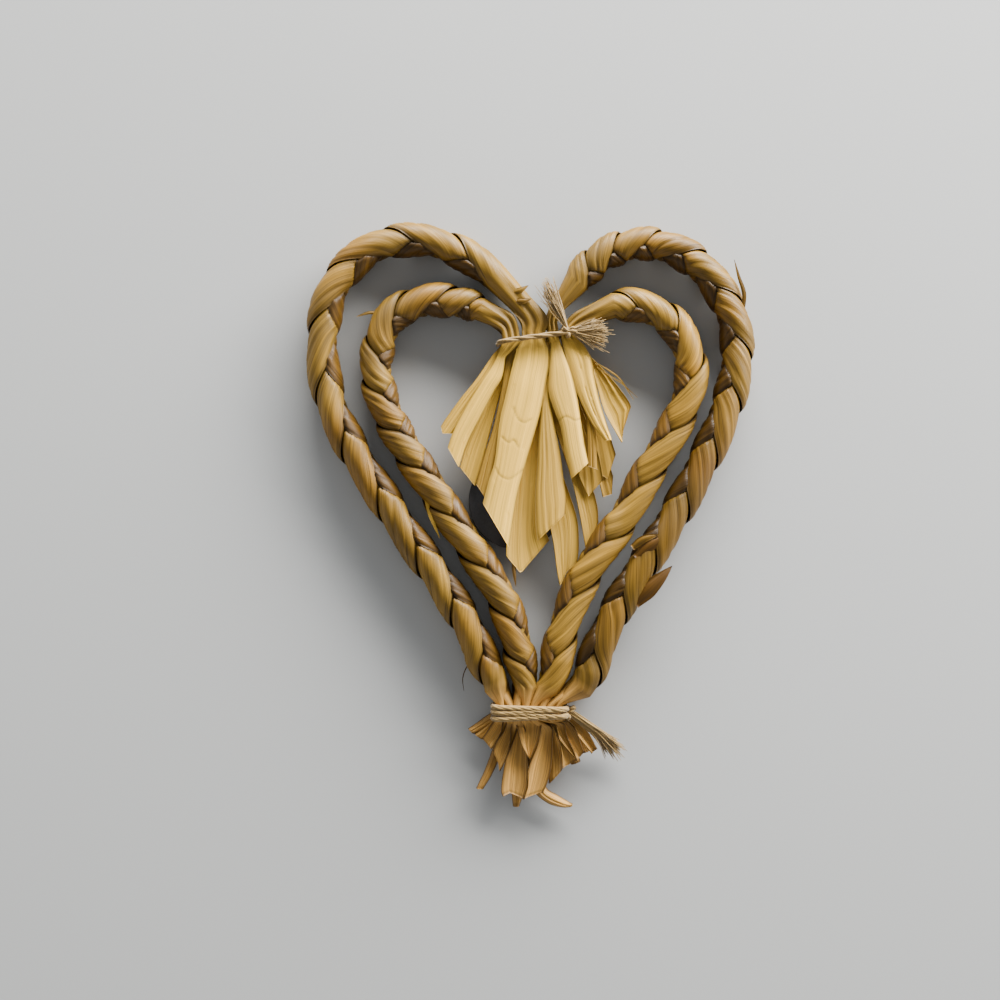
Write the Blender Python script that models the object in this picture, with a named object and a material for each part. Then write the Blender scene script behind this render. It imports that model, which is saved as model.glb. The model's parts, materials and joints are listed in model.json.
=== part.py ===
"""Straw heart ornament with a magnet on its back, lying flat with its face up.

Four plaits of four flattened straws each run from the lower twine tie, up and round
the lobes of the heart, to the upper twine tie. The same straws go on through the ties:
their lower ends make the tassel and their upper ends make the fan of cut blades.
X is the viewer's right, Y is towards the lobes, Z is up. The origin is the middle of
the magnet's back face. Sizes below are in millimetres.
"""

import math

import bmesh
import bpy
from mathutils import Vector

MM = 0.001

# Clearance between pieces that touch on the real thing
TOUCH_GAP = 0.3

# One straw
STRAW_THICKNESS = 0.4
BLADE_THICKNESS = 0.34
TASSEL_THICKNESS = 0.7

# One plait: two straws wind one way and two the other, each over one and under one
PLAIT_RADIUS = 2.62
WEAVE_GAP = 0.55
WEAVE_LIFT = (STRAW_THICKNESS + WEAVE_GAP) / 2
WEAVE_SHARPNESS = 4.4
WEAVE_STEP = math.radians(45)
SECTION_ANGLES = [math.radians(angle) for angle in (-67.5, -22.5, 22.5, 67.5)]
NECK_SPREAD = 0.6
# The plaits are turned a little, so that the inner side of each shows more of its side passes
OUTER_ROLL = math.radians(15)
INNER_ROLL = math.radians(8)
FACE_SWELL = math.radians(8)
PLAIT_HALF = PLAIT_RADIUS + WEAVE_LIFT + STRAW_THICKNESS / 2
PLAIT_AXIS_Z = PLAIT_HALF + 0.1

# Magnet
MAGNET_DIAMETER = 18.0
MAGNET_THICKNESS = 3.0
MAGNET_EDGE = 0.25
MAGNET_SIDES = 28

# Twine
TWINE_RADIUS = 0.56
TWINE_SIDES = 6

# Lower tie: the four bundles lie side by side, each two straws wide and two deep
LOWER_TIE_X = 2.4
LOWER_TIE_Y = -39.1
LOWER_STRAW_HALF = 0.62
LOWER_STRAW_DEPTH = 1.7
LOWER_TURNS = 2
TURN_PITCH = 2 * TWINE_RADIUS + 0.12
LOWER_TIE_HALF = (LOWER_TURNS - 1) * TURN_PITCH / 2 + TWINE_RADIUS + TOUCH_GAP
LOWER_STRAW_PITCH = 2 * LOWER_STRAW_HALF + TOUCH_GAP
LOWER_BUNDLE_PITCH = 2 * LOWER_STRAW_PITCH
LOWER_ROW_LIFT = (LOWER_STRAW_DEPTH + TOUCH_GAP) / 2
TAPER_LENGTH_LOW = 9.0
TAPER_SHARE_LOW = 0.3
TAPER_BEND = 0.95

# Upper tie: the four straws of a plait lie on top of each other
UPPER_TIE_Y = 31.2
UPPER_STRAW_DEPTH = 0.7
UPPER_TIE_HALF = TWINE_RADIUS + TOUCH_GAP
UPPER_ROW_PITCH = UPPER_STRAW_DEPTH + TOUCH_GAP
UPPER_TIE_Z = 3.8
UPPER_LEFT_X = -2.7
UPPER_COLUMN_GAP = 0.45
UPPER_TIE_DROOP = 1.8
TAPER_LENGTH_HIGH = 12.0
TAPER_SHARE_HIGH = 0.55
GATHER_LENGTH = 2.8
FREE_LENGTH = 5.0

# Fan: four layers of blades above the magnet
FAN_FLOOR_Z = MAGNET_THICKNESS + TOUCH_GAP + BLADE_THICKNESS / 2
FAN_LAYER_PITCH = BLADE_THICKNESS + TOUCH_GAP

# Colours as red, green, blue
STRAW_COLOUR = (0.56, 0.37, 0.14)
TWINE_COLOUR = (0.55, 0.42, 0.26)
MAGNET_COLOUR = (0.02, 0.02, 0.022)


class Blade:
    """One cut straw end: where its end lies, its half widths on the way, its sideways bow,
    how much further its right corner reaches than its left, and its rise at the end."""

    def __init__(self, end, middle, tip, bow=0.0, cut=0.0, point=0.0, lift=0.0, roll=0.0):
        self.end = end
        self.middle = middle
        self.tip = tip
        self.bow = bow
        self.cut = cut
        self.point = point
        self.lift = lift
        self.roll = math.radians(roll)


class Plait:
    """One plait: its route from the lower tie to the upper, where each front pass lies on
    the route, and the way the front straws wind."""

    def __init__(self, name, place, route, passes, winding, column_half, fan, tassel):
        self.name = name
        self.place = place
        self.route = route
        self.passes = passes
        self.winding = winding
        self.column_half = column_half
        self.fan = fan
        self.tassel = tassel


# The fan blades are listed from the top layer to the bottom one.
# The tassel ends are listed front left, front right, back left, back right.
PLAITS = [
    Plait(
        "outer_left", 0,
        route=[(-3.1, -36.0), (-4.0, -33.3), (-5.9, -29.6), (-9.3, -22.9), (-14.0, -15.2),
               (-19.3, -7.8), (-24.9, 0.7), (-30.7, 9.9), (-34.8, 18.8), (-36.2, 29.0),
               (-34.2, 39.6), (-27.0, 47.1), (-17.1, 48.5), (-9.1, 45.4), (-2.0, 39.8),
               (1.9, 35.3)],
        passes=[4.6, 16.7, 27.9, 40.5, 53.4, 64.7, 77.3, 87.8, 99.4, 110.7, 122.2],
        winding=1, column_half=2.1,
        fan=[
            Blade((-3.9, -4.5), 3.55, 2.95, bow=0.1, cut=7.6),
            Blade((-6.9, 1.2), 1.5, 1.7, bow=-1.1, cut=3.4),
            Blade((2.0, -9.6), 2.6, 3.9, bow=1.0, cut=-2.2, point=2.6),
            Blade((12.0, -5.8), 1.2, 1.0, bow=0.8, cut=0.9, point=1.4),
        ],
        tassel=[
            Blade((-5.2, -45.8), 0.8, 0.85, cut=0.5, roll=24),
            Blade((-3.6, -48.2), 1.0, 1.1, cut=0.9, roll=20),
            Blade((-8.8, -43.0), 0.6, 0.7, cut=0.3, roll=-18),
            Blade((-6.7, -44.9), 0.65, 0.75, cut=0.4, roll=-14),
        ],
    ),
    Plait(
        "inner_left", 1,
        route=[(1.3, -36.0), (1.4, -33.3), (0.6, -29.0), (-2.3, -19.2), (-6.9, -11.2),
               (-11.8, -3.9), (-16.4, 3.3), (-21.2, 10.8), (-24.9, 18.4), (-26.2, 26.2),
               (-23.6, 33.9), (-17.3, 37.2), (-9.9, 36.8), (-4.6, 34.6), (-1.9, 32.9)],
        passes=[3.8, 11.1, 20.8, 32.4, 43.9, 53.1, 60.1, 69.1, 77.9, 83.7, 89.1, 95.6],
        winding=-1, column_half=1.6,
        fan=[
            Blade((-11.9, 8.2), 1.9, 2.2, bow=-0.3, cut=2.2),
            Blade((-13.0, 12.8), 1.9, 1.5, bow=-1.3, cut=-0.8),
            Blade((-9.2, 5.0), 1.6, 1.9, bow=-0.3, cut=2.6),
            Blade((8.0, -13.2), 1.9, 1.1, bow=1.2, cut=-2.4, point=0.9),
        ],
        tassel=[
            Blade((-0.8, -54.2), 1.5, 2.0, bow=-0.6, cut=0.5, roll=8),
            Blade((2.4, -47.2), 1.2, 0.25, cut=0.0, lift=0.9, roll=0),
            Blade((-7.0, -53.2), 0.5, 0.45, bow=0.3, cut=0.3),
            Blade((-0.1, -56.3), 0.7, 0.8, bow=-0.4, cut=-0.4),
        ],
    ),
    Plait(
        "inner_right", 2,
        route=[(4.7, -35.6), (6.1, -32.4), (7.5, -28.0), (10.4, -18.6), (14.9, -10.2),
               (19.9, -3.2), (23.6, 3.9), (28.0, 11.3), (31.6, 18.8), (32.4, 26.2),
               (28.5, 33.7), (21.4, 36.6), (15.1, 35.6), (11.0, 33.2)],
        passes=[4.0, 15.0, 27.2, 38.6, 51.0, 62.2, 72.0, 81.5, 90.8],
        winding=1, column_half=1.3,
        fan=[
            Blade((16.6, 12.4), 1.75, 0.9, bow=0.5, cut=1.2),
            Blade((14.0, 6.6), 0.8, 0.95, bow=0.4, cut=-0.2, point=0.5),
            Blade((20.3, 14.3), 1.9, 2.1, bow=0.6, cut=-3.4),
            Blade((17.5, 7.6), 1.3, 1.5, bow=1.1, cut=-1.6),
        ],
        tassel=[
            Blade((3.5, -54.6), 1.4, 2.0, bow=0.7, cut=-0.9, roll=-8),
            Blade((8.9, -49.8), 0.8, 0.95, bow=0.2, cut=-0.6, roll=-22),
            Blade((9.6, -56.7), 0.75, 0.6, bow=-3.4, cut=0.4, lift=-0.9),
            Blade((6.7, -52.2), 1.0, 1.2, bow=0.3, cut=-1.2, lift=0.5, roll=12),
        ],
    ),
    Plait(
        "outer_right", 3,
        route=[(8.6, -35.4), (11.2, -32.0), (14.3, -28.2), (17.3, -22.5), (21.6, -14.7),
               (26.4, -7.4), (30.9, 0.2), (34.6, 7.3), (38.0, 14.7), (40.7, 24.0),
               (40.2, 34.0), (34.4, 43.5), (25.9, 47.8), (17.7, 46.7), (12.3, 42.4),
               (9.3, 37.4), (7.4, 33.6)],
        passes=[6.8, 19.5, 30.2, 41.8, 52.8, 64.2, 73.4, 83.0, 93.2, 101.4, 108.0, 114.0,
                119.8],
        winding=-1, column_half=1.0,
        fan=[
            Blade((11.7, 5.3), 2.0, 1.75, bow=-0.2, cut=-2.6),
            Blade((6.3, -4.9), 2.0, 2.6, bow=-0.8, cut=-4.6),
            Blade((13.8, 2.2), 1.7, 2.1, bow=0.0, cut=-1.2, point=1.5),
            Blade((16.6, 2.6), 0.7, 0.8, bow=0.1, cut=-0.9),
        ],
        tassel=[
            Blade((11.9, -48.0), 1.0, 1.15, bow=0.3, cut=-0.9, roll=-24),
            Blade((14.3, -46.4), 0.65, 0.7, bow=0.4, cut=-0.3, roll=-18),
            Blade((10.3, -49.3), 0.7, 0.85, bow=0.3, cut=-0.6, roll=14),
            Blade((12.9, -46.9), 0.7, 0.8, bow=0.3, cut=-0.5, roll=12),
        ],
    ),
]

UP = Vector((0, 0, 1))


def clear_scene():
    for obj in list(bpy.data.objects):
        bpy.data.objects.remove(obj, do_unlink=True)


def new_collection(name, shown=True):
    collection = bpy.data.collections.new(name)
    collection.hide_render = not shown
    bpy.context.scene.collection.children.link(collection)
    return collection


def material(name, colour, roughness, metallic=0.0):
    made = bpy.data.materials.new(name)
    made.use_nodes = True
    shader = made.node_tree.nodes["Principled BSDF"]
    shader.inputs["Base Color"].default_value = (*colour, 1)
    shader.inputs["Roughness"].default_value = roughness
    shader.inputs["Metallic"].default_value = metallic
    made.diffuse_color = (*colour, 1)
    return made


def mesh_object(name, points, faces, made_of, collection, smooth=False):
    mesh = bpy.data.meshes.new(name)
    mesh.from_pydata([Vector(point) * MM for point in points], [], faces)
    mesh.materials.append(made_of)
    mesh.shade_smooth() if smooth else mesh.shade_flat()
    obj = bpy.data.objects.new(name, mesh)
    collection.objects.link(obj)
    return obj


def lerp(low, high, share):
    return low + (high - low) * share


def curve_through(points, step=0.5):
    """Evenly spaced points on a smooth curve through the given ones."""
    ends = [points[0] * 2 - points[1], *points, points[-1] * 2 - points[-2]]
    dense = []
    for before, start, end, after in zip(ends, ends[1:], ends[2:], ends[3:]):
        pieces = max(2, round((end - start).length / step))
        for piece in range(pieces):
            t = piece / pieces
            bend = (2 * start, end - before, 2 * before - 5 * start + 4 * end - after,
                    3 * start - before - 3 * end + after)
            dense.append(0.5 * (bend[0] + bend[1] * t + bend[2] * t * t + bend[3] * t ** 3))
    return dense + [points[-1].copy()]


class Route:
    """A polyline that can be asked for a point and a direction at a distance along it."""

    def __init__(self, points):
        self.points = points
        self.along = [0.0]
        for start, end in zip(points, points[1:]):
            self.along.append(self.along[-1] + (end - start).length)
        self.length = self.along[-1]

    def at(self, distance):
        if distance <= 0:
            return self.points[0] + (self.points[1] - self.points[0]).normalized() * distance
        for index in range(1, len(self.points)):
            if distance <= self.along[index]:
                span = self.along[index] - self.along[index - 1]
                share = (distance - self.along[index - 1]) / span
                return self.points[index - 1].lerp(self.points[index], share)
        last = (self.points[-1] - self.points[-2]).normalized()
        return self.points[-1] + last * (distance - self.length)

    def heading(self, distance, reach=0.8):
        return (self.at(distance + reach) - self.at(distance - reach)).normalized()


def girth(distance, length):
    """Share of its full radius that a plait has at a distance along its route."""
    opened = min(1.0, max(0.0, distance / TAPER_LENGTH_LOW)) ** TAPER_BEND
    low = lerp(TAPER_SHARE_LOW, 1.0, opened)
    high = lerp(TAPER_SHARE_HIGH, 1.0, min(1.0, (length - distance) / TAPER_LENGTH_HIGH))
    return min(low, high)


def reach_of(distance, length):
    return PLAIT_RADIUS * girth(distance, length) + PLAIT_HALF - PLAIT_RADIUS


def lower_bundle_x(place):
    return LOWER_TIE_X + (place - 1.5) * LOWER_BUNDLE_PITCH


def upper_columns():
    """The middle of each plait's column of straws in the upper tie, by plait name."""
    order = ["inner_left", "outer_left", "outer_right", "inner_right"]
    halves = {plait.name: plait.column_half for plait in PLAITS}
    edge = UPPER_LEFT_X
    middles = {}
    for name in order:
        middles[name] = edge + halves[name]
        edge += 2 * halves[name] + UPPER_COLUMN_GAP
    return middles, edge - UPPER_COLUMN_GAP


def upper_tie_y(x):
    """The upper twine dips towards its left end."""
    _, right = upper_columns()
    share = (right - x) / (right - UPPER_LEFT_X)
    return UPPER_TIE_Y - UPPER_TIE_DROOP * share ** 2


def push_off(route, other, own_side):
    """Moves a route sideways wherever its plait would run into the other one."""
    first, second = Route(route), Route(other)
    moved = []
    for index, point in enumerate(route):
        near = min(range(len(other)), key=lambda place: (other[place] - point).length_squared)
        apart = point - other[near]
        needed = reach_of(first.along[index], first.length)
        needed += reach_of(second.along[near], second.length) + TOUCH_GAP
        from_tie = min(first.along[index], first.length - first.along[index])
        freedom = max(0.0, min(1.0, (from_tie - 1.0) / FREE_LENGTH))
        if apart.length < needed:
            way = own_side if apart.length < 1e-6 else apart.normalized()
            point = point.lerp(other[near] + way * needed, freedom)
        moved.append(point)
    return smoothed(moved)


def smoothed(points, rounds=6):
    for _ in range(rounds):
        middle = [(before + point * 2 + after) / 4
                  for before, point, after in zip(points, points[1:], points[2:])]
        points = [points[0], *middle, points[-1]]
    return points


def plait_routes():
    columns, _ = upper_columns()
    routes = {}
    for plait in PLAITS:
        low_y = LOWER_TIE_Y + LOWER_TIE_HALF
        start = Vector((lower_bundle_x(plait.place), low_y, PLAIT_AXIS_Z))
        high_x = columns[plait.name]
        end = Vector((high_x, upper_tie_y(high_x) + UPPER_TIE_HALF, UPPER_TIE_Z))
        middle = [Vector((x, y, PLAIT_AXIS_Z)) for x, y in plait.route]
        routes[plait.name] = curve_through([start, *middle, end])
    left, right = Vector((-1, 0, 0)), Vector((1, 0, 0))
    for _ in range(3):
        routes["inner_right"] = push_off(routes["inner_right"], routes["inner_left"], right)
        routes["outer_left"] = push_off(routes["outer_left"], routes["inner_left"], left)
        routes["outer_right"] = push_off(routes["outer_right"], routes["inner_right"], right)
    return {name: Route(points) for name, points in routes.items()}


def flat_section(middle, across, outward, half, depth):
    """Six points of a lens-shaped section: an edge, two outer points, an edge, two inner."""
    side, rise = across * half, outward * (depth / 2)
    return [middle - side, middle - side / 3 + rise, middle + side / 3 + rise,
            middle + side, middle + side / 3 - rise, middle - side / 3 - rise]


def weave_height(angle, phase):
    """How far out the front family lies, from -1 to 1, at an angle round the plait."""
    crossing = (math.cos(2 * angle) + math.cos(2 * phase)) / 2
    return math.tanh(WEAVE_SHARPNESS * crossing)


def shifted(turn, roll):
    """Turns the weave towards one side and widens its front passes there."""
    swell = FACE_SWELL * (math.cos(2 * turn) - 1) / 2 * math.copysign(1, roll)
    return turn + roll * (1 + math.cos(turn)) / 2 - swell * math.cos(turn / 2) ** 2


def woven_section(route, distance, phase, angle, family, roll, spread=1.0):
    """Section of a straw that lies on the round of its plait."""
    middle, heading = route.at(distance), route.heading(distance)
    side = heading.cross(UP).normalized()
    top = side.cross(heading)
    radius = PLAIT_RADIUS * girth(distance, route.length)
    outer, inner = [], []
    for place, offset in enumerate(SECTION_ANGLES):
        turn = angle + offset * spread
        level = radius + family * WEAVE_LIFT * weave_height(turn, phase)
        shown = shifted(turn, roll)
        out = top * math.cos(shown) + side * math.sin(shown)
        if place in (0, 3):
            outer.append(middle + out * level)
        else:
            outer.append(middle + out * (level + STRAW_THICKNESS / 2))
            inner.append(middle + out * (level - STRAW_THICKNESS / 2))
    return outer + inner[::-1]


def pass_distance(passes, phase):
    """Distance along the route at a weave phase; front pass number n lies at phase n * pi."""
    number = min(max(math.floor(phase / math.pi), 0), len(passes) - 2)
    return lerp(passes[number], passes[number + 1], phase / math.pi - number)


def blade_sections(start, start_half, start_depth, blade, depth, level, outward, shares, spread):
    """Sections from a tie to the cut end of one straw, each square to a bowed middle line."""
    end = Vector((*blade.end, level + blade.lift))
    chord = end - start
    flat = Vector((chord.x, chord.y, 0)).normalized()
    sideways = UP.cross(flat)
    control = start.lerp(end, 0.5) + sideways * (2 * blade.bow)
    sections = []
    for share in shares:
        half = blade.tip if share == 1.0 else blade.middle
        if share == shares[0]:
            half = min(start_half * spread, blade.middle)
        middle = start.lerp(control, share).lerp(control.lerp(end, share), share)
        middle.z = lerp(start.z, end.z, min(1.0, share * 2.2))
        heading = (control - start).lerp(end - control, share)
        heading = Vector((heading.x, heading.y, 0)).normalized()
        across = heading.cross(UP) * (1 if outward > 0 else -1)
        face = UP * outward
        roll = blade.roll * share * outward
        turned = across * math.cos(roll) + face * math.sin(roll)
        face = face * math.cos(roll) - across * math.sin(roll)
        thick = lerp(start_depth, depth, min(1.0, share * 1.8))
        section = flat_section(middle, turned, face, half, thick)
        if share == 1.0:
            section = cut_end(section, middle, heading, turned, half, blade)
        sections.append(section)
    return sections


def cut_end(section, middle, heading, across, half, blade):
    """Slants the last section, and can bring it to a point at its middle."""
    to_right = 1 if across.x > 0 else -1
    slanted = []
    for point in section:
        share = (point - middle).dot(across) / half * to_right
        further = blade.cut / 2 * share + blade.point * (1 - abs(share))
        slanted.append(point + heading * further)
    return slanted


def straw_sections(plait, route, number):
    """All sections of one straw, from its tassel end to its fan end.

    Straws 0 and 1 are the family that lies over at the front, 2 and 3 the other one."""
    family = 1 if number < 2 else -1
    half_turn = math.pi * (number % 2)
    winding = plait.winding * family
    roll = OUTER_ROLL if plait.name.startswith("outer") else INNER_ROLL
    if plait.name.endswith("left"):
        roll = -roll
    last_phase = math.pi * (len(plait.passes) - 1)

    def angle_at(phase):
        return winding * phase + half_turn

    sections = []
    sections += tassel_sections(plait, angle_at(-WEAVE_STEP))
    phase = -WEAVE_STEP
    stations = [(phase, NECK_SPREAD)]
    phase = -WEAVE_STEP / 2
    while phase < last_phase + WEAVE_STEP:
        stations.append((phase, 1.0))
        phase += WEAVE_STEP
    stations[-1] = (last_phase + WEAVE_STEP / 2, 1.0)
    stations.append((last_phase + WEAVE_STEP, NECK_SPREAD))
    for phase, spread in stations:
        distance = pass_distance(plait.passes, phase)
        sections.append(
            woven_section(route, distance, phase, angle_at(phase), family, roll, spread))
    sections += fan_sections(plait, route, family, angle_at(last_phase + WEAVE_STEP))
    return sections, winding


def tassel_sections(plait, angle):
    """From the cut end up through the lower tie; the straw's place follows its angle."""
    right = math.sin(angle) > 0
    front = math.cos(angle) > 0
    outward = 1 if front else -1
    blade = plait.tassel[(0 if front else 2) + (1 if right else 0)]
    x = lower_bundle_x(plait.place) + LOWER_STRAW_PITCH / 2 * (1 if right else -1)
    z = PLAIT_AXIS_Z + LOWER_ROW_LIFT * outward
    below = Vector((x, LOWER_TIE_Y - LOWER_TIE_HALF, z))
    above = Vector((x, LOWER_TIE_Y + LOWER_TIE_HALF, z))
    across = Vector((outward, 0, 0))
    ties = [flat_section(point, across, UP * outward, LOWER_STRAW_HALF, LOWER_STRAW_DEPTH)
            for point in (below, above)]
    level = z + (-0.3 if front else -0.7)
    loose = blade_sections(below, LOWER_STRAW_HALF, LOWER_STRAW_DEPTH, blade,
                           TASSEL_THICKNESS, level, outward, (0.4, 1.0), spread=1.6)
    # A blade is made with its way pointing to its end, and a straw runs the other way here.
    turned = [[section[3], section[2], section[1], section[0], section[5], section[4]]
              for section in loose]
    return turned[::-1] + ties


def fan_sections(plait, route, family, angle):
    """From the last crossing through the upper tie to the cut end in the fan."""
    columns, _ = upper_columns()
    front = math.cos(angle) > 0
    outward = 1 if front else -1
    layer = {(1, True): 0, (-1, True): 1, (-1, False): 2, (1, False): 3}[(family, front)]
    rise = (1.5 - layer) * UPPER_ROW_PITCH
    side = 1 if math.sin(angle) > 0 else -1
    sections = []
    gather = route.length - GATHER_LENGTH
    heading = route.heading(gather)
    lateral = heading.cross(UP).normalized()
    spring = 1.3 if layer in (0, 3) else 1.0
    middle = route.at(gather) + lateral * (side * 0.2 * plait.column_half) + UP * (rise * spring)
    half = 0.75 * plait.column_half
    sections.append(
        flat_section(middle, lateral * outward, UP * outward, half, UPPER_STRAW_DEPTH))
    x = columns[plait.name]
    tie_y = upper_tie_y(x)
    for y in (tie_y + UPPER_TIE_HALF, tie_y - UPPER_TIE_HALF):
        point = Vector((x, y, UPPER_TIE_Z + rise))
        sections.append(flat_section(point, Vector((-outward, 0, 0)), UP * outward,
                                     plait.column_half, UPPER_STRAW_DEPTH))
    start = Vector((x, tie_y - UPPER_TIE_HALF, UPPER_TIE_Z + rise))
    level = FAN_FLOOR_Z + (3 - layer) * FAN_LAYER_PITCH
    sections += blade_sections(start, plait.column_half, UPPER_STRAW_DEPTH,
                               plait.fan[layer], BLADE_THICKNESS, level, outward,
                               (0.3, 0.62, 1.0), spread=1.25)
    return sections


def loft(name, sections, winding, made_of, collection, smooth=False):
    """Joins the sections to one closed body, with each four-sided patch split along the
    length of the plait, so that crossing straws are split alike."""
    size = len(sections[0])
    points = [point for section in sections for point in section]
    faces = [list(range(size))[::-1]]
    for row in range(len(sections) - 1):
        low, high = row * size, (row + 1) * size
        for corner in range(size):
            after = (corner + 1) % size
            a, b, c, d = low + corner, low + after, high + after, high + corner
            outer_face = corner < 3
            if (winding > 0) == outer_face:
                faces += [(a, b, d), (b, c, d)]
            else:
                faces += [(a, b, c), (a, c, d)]
    top = (len(sections) - 1) * size
    faces.append([top + corner for corner in range(size)])
    return mesh_object(name, points, faces, made_of, collection, smooth)


def ring_points(left, right, low, high, offset, tie_y):
    """A closed round-cornered path of cord about a flat bundle, seen along Y."""
    corner = 0.6
    radius = corner + offset
    middles = [(right - corner, high - corner), (left + corner, high - corner),
               (left + corner, low + corner), (right - corner, low + corner)]
    points = []
    for quarter, (x, z) in enumerate(middles):
        for step in range(3):
            turn = math.pi / 2 * (quarter + step / 2)
            across = x + radius * math.cos(turn)
            points.append(Vector((across, tie_y(across), z + radius * math.sin(turn))))
    return points


def ring(name, points, radius, made_of, collection, sides=TWINE_SIDES):
    """A closed loop of round cord along the points."""
    size = len(points)
    around, faces = [], []
    for index, point in enumerate(points):
        heading = (points[(index + 1) % size] - points[index - 1]).normalized()
        side = heading.cross(Vector((0, 1, 0))).normalized()
        rise = side.cross(heading)
        for corner in range(sides):
            turn = 2 * math.pi * corner / sides
            around.append(point + (side * math.cos(turn) + rise * math.sin(turn)) * radius)
    for index in range(size):
        low, high = index * sides, (index + 1) % size * sides
        for corner in range(sides):
            after = (corner + 1) % sides
            faces.append((low + corner, low + after, high + after, high + corner))
    return mesh_object(name, around, faces, made_of, collection, smooth=True)


def join(target, others):
    for other in others:
        modifier = target.modifiers.new(other.name, "BOOLEAN")
        modifier.operation = "UNION"
        modifier.solver = "EXACT"
        modifier.object = other
        other.hide_render = True
        other.display_type = "WIRE"


def ball(name, middle, radii, made_of, collection, smooth=True):
    mesh = bpy.data.meshes.new(name)
    shape = bmesh.new()
    bmesh.ops.create_uvsphere(shape, u_segments=8, v_segments=5, radius=1)
    for point in shape.verts:
        point.co = Vector([middle[axis] + point.co[axis] * radii[axis] for axis in range(3)]) * MM
    shape.to_mesh(mesh)
    shape.free()
    mesh.materials.append(made_of)
    mesh.shade_smooth()
    obj = bpy.data.objects.new(name, mesh)
    collection.objects.link(obj)
    return obj


def tail(name, points, halves, depths, made_of, collection):
    """A flattened loose end of twine that widens to its frayed tip."""
    sections = []
    for index, point in enumerate(points):
        before, after = points[max(index - 1, 0)], points[min(index + 1, len(points) - 1)]
        heading = (after - before).normalized()
        across = heading.cross(UP).normalized()
        face = across.cross(heading)
        sections.append(flat_section(point, across, face, halves[index], depths[index]))
    return loft(name, sections, 1, made_of, collection, smooth=True)


def build_straws(routes, made_of, collection):
    for plait in PLAITS:
        route = routes[plait.name]
        for number in range(4):
            sections, winding = straw_sections(plait, route, number)
            loft(f"{plait.name}_straw_{number + 1}", sections, winding, made_of, collection)


def build_lower_tie(made_of, collection, cutters):
    reach = 2 * LOWER_BUNDLE_PITCH - TOUCH_GAP / 2
    depth = LOWER_ROW_LIFT + LOWER_STRAW_DEPTH / 2
    clear = TOUCH_GAP + TWINE_RADIUS
    right = LOWER_TIE_X + reach
    rings = []
    for number in range(LOWER_TURNS):
        y = LOWER_TIE_Y + (number - (LOWER_TURNS - 1) / 2) * TURN_PITCH
        points = ring_points(LOWER_TIE_X - reach, right, PLAIT_AXIS_Z - depth,
                             PLAIT_AXIS_Z + depth, clear, lambda x, level=y: level)
        name = "lower_tie_twine" if number == 0 else f"lower_turn_{number + 1}"
        rings.append(ring(name, points, TWINE_RADIUS, made_of, cutters if number else collection))
    knot_at = Vector((right + clear + 0.3, LOWER_TIE_Y + 0.1, PLAIT_AXIS_Z + 0.6))
    knot = ball("lower_knot", knot_at, (1.0, 1.45, 1.25), made_of, cutters)
    way = [knot_at, knot_at + Vector((2.6, -1.9, -0.1)), knot_at + Vector((5.2, -3.9, -0.9)),
           knot_at + Vector((7.6, -5.9, -1.9)), knot_at + Vector((9.6, -7.9, -2.7))]
    loose = tail("lower_tail", way, [0.55, 0.75, 0.9, 1.05, 1.7],
                 [1.0, 1.0, 0.9, 0.8, 0.5], made_of, cutters)
    join(rings[0], [*rings[1:], knot, loose])


def build_upper_tie(made_of, collection, cutters):
    _, right = upper_columns()
    depth = 1.5 * UPPER_ROW_PITCH + UPPER_STRAW_DEPTH / 2
    clear = TOUCH_GAP + TWINE_RADIUS
    points = ring_points(UPPER_LEFT_X, right, UPPER_TIE_Z - depth, UPPER_TIE_Z + depth,
                         clear, upper_tie_y)
    loop = ring("upper_tie_twine", points, TWINE_RADIUS, made_of, collection)
    knot_at = Vector((right - 1.2, UPPER_TIE_Y + 0.1, UPPER_TIE_Z + depth + clear + 0.15))
    knot = ball("upper_knot", knot_at, (1.1, 1.0, 0.75), made_of, cutters)
    brush_way = [knot_at, knot_at + Vector((2.0, -0.1, 0.1)), knot_at + Vector((4.4, -0.5, 0.0)),
                 knot_at + Vector((6.8, -1.0, -0.3))]
    brush = tail("upper_brush", brush_way, [0.5, 1.0, 1.7, 2.2], [0.8, 0.8, 0.7, 0.5],
                 made_of, cutters)
    wisp_way = [knot_at, knot_at + Vector((-2.0, 3.0, 0.4)), knot_at + Vector((-3.6, 6.2, 0.5)),
                knot_at + Vector((-4.6, 9.0, 0.2))]
    wisp = tail("upper_wisp", wisp_way, [0.4, 0.6, 0.9, 1.1], [0.7, 0.6, 0.5, 0.4],
                made_of, cutters)
    join(loop, [knot, brush, wisp])


def build_magnet(made_of, collection):
    radius = MAGNET_DIAMETER / 2
    profile = [(radius - MAGNET_EDGE, 0), (radius, MAGNET_EDGE),
               (radius, MAGNET_THICKNESS - MAGNET_EDGE), (radius - MAGNET_EDGE, MAGNET_THICKNESS)]
    points, faces = [], []
    for reach, z in profile:
        for step in range(MAGNET_SIDES):
            turn = 2 * math.pi * step / MAGNET_SIDES
            points.append((reach * math.cos(turn), reach * math.sin(turn), z))
    for level in range(len(profile) - 1):
        low, high = level * MAGNET_SIDES, (level + 1) * MAGNET_SIDES
        for step in range(MAGNET_SIDES):
            after = (step + 1) % MAGNET_SIDES
            faces.append((low + step, low + after, high + after, high + step))
    faces.append(list(range(MAGNET_SIDES))[::-1])
    faces.append([len(points) - MAGNET_SIDES + step for step in range(MAGNET_SIDES)])
    mesh_object("magnet", points, faces, made_of, collection)


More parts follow.
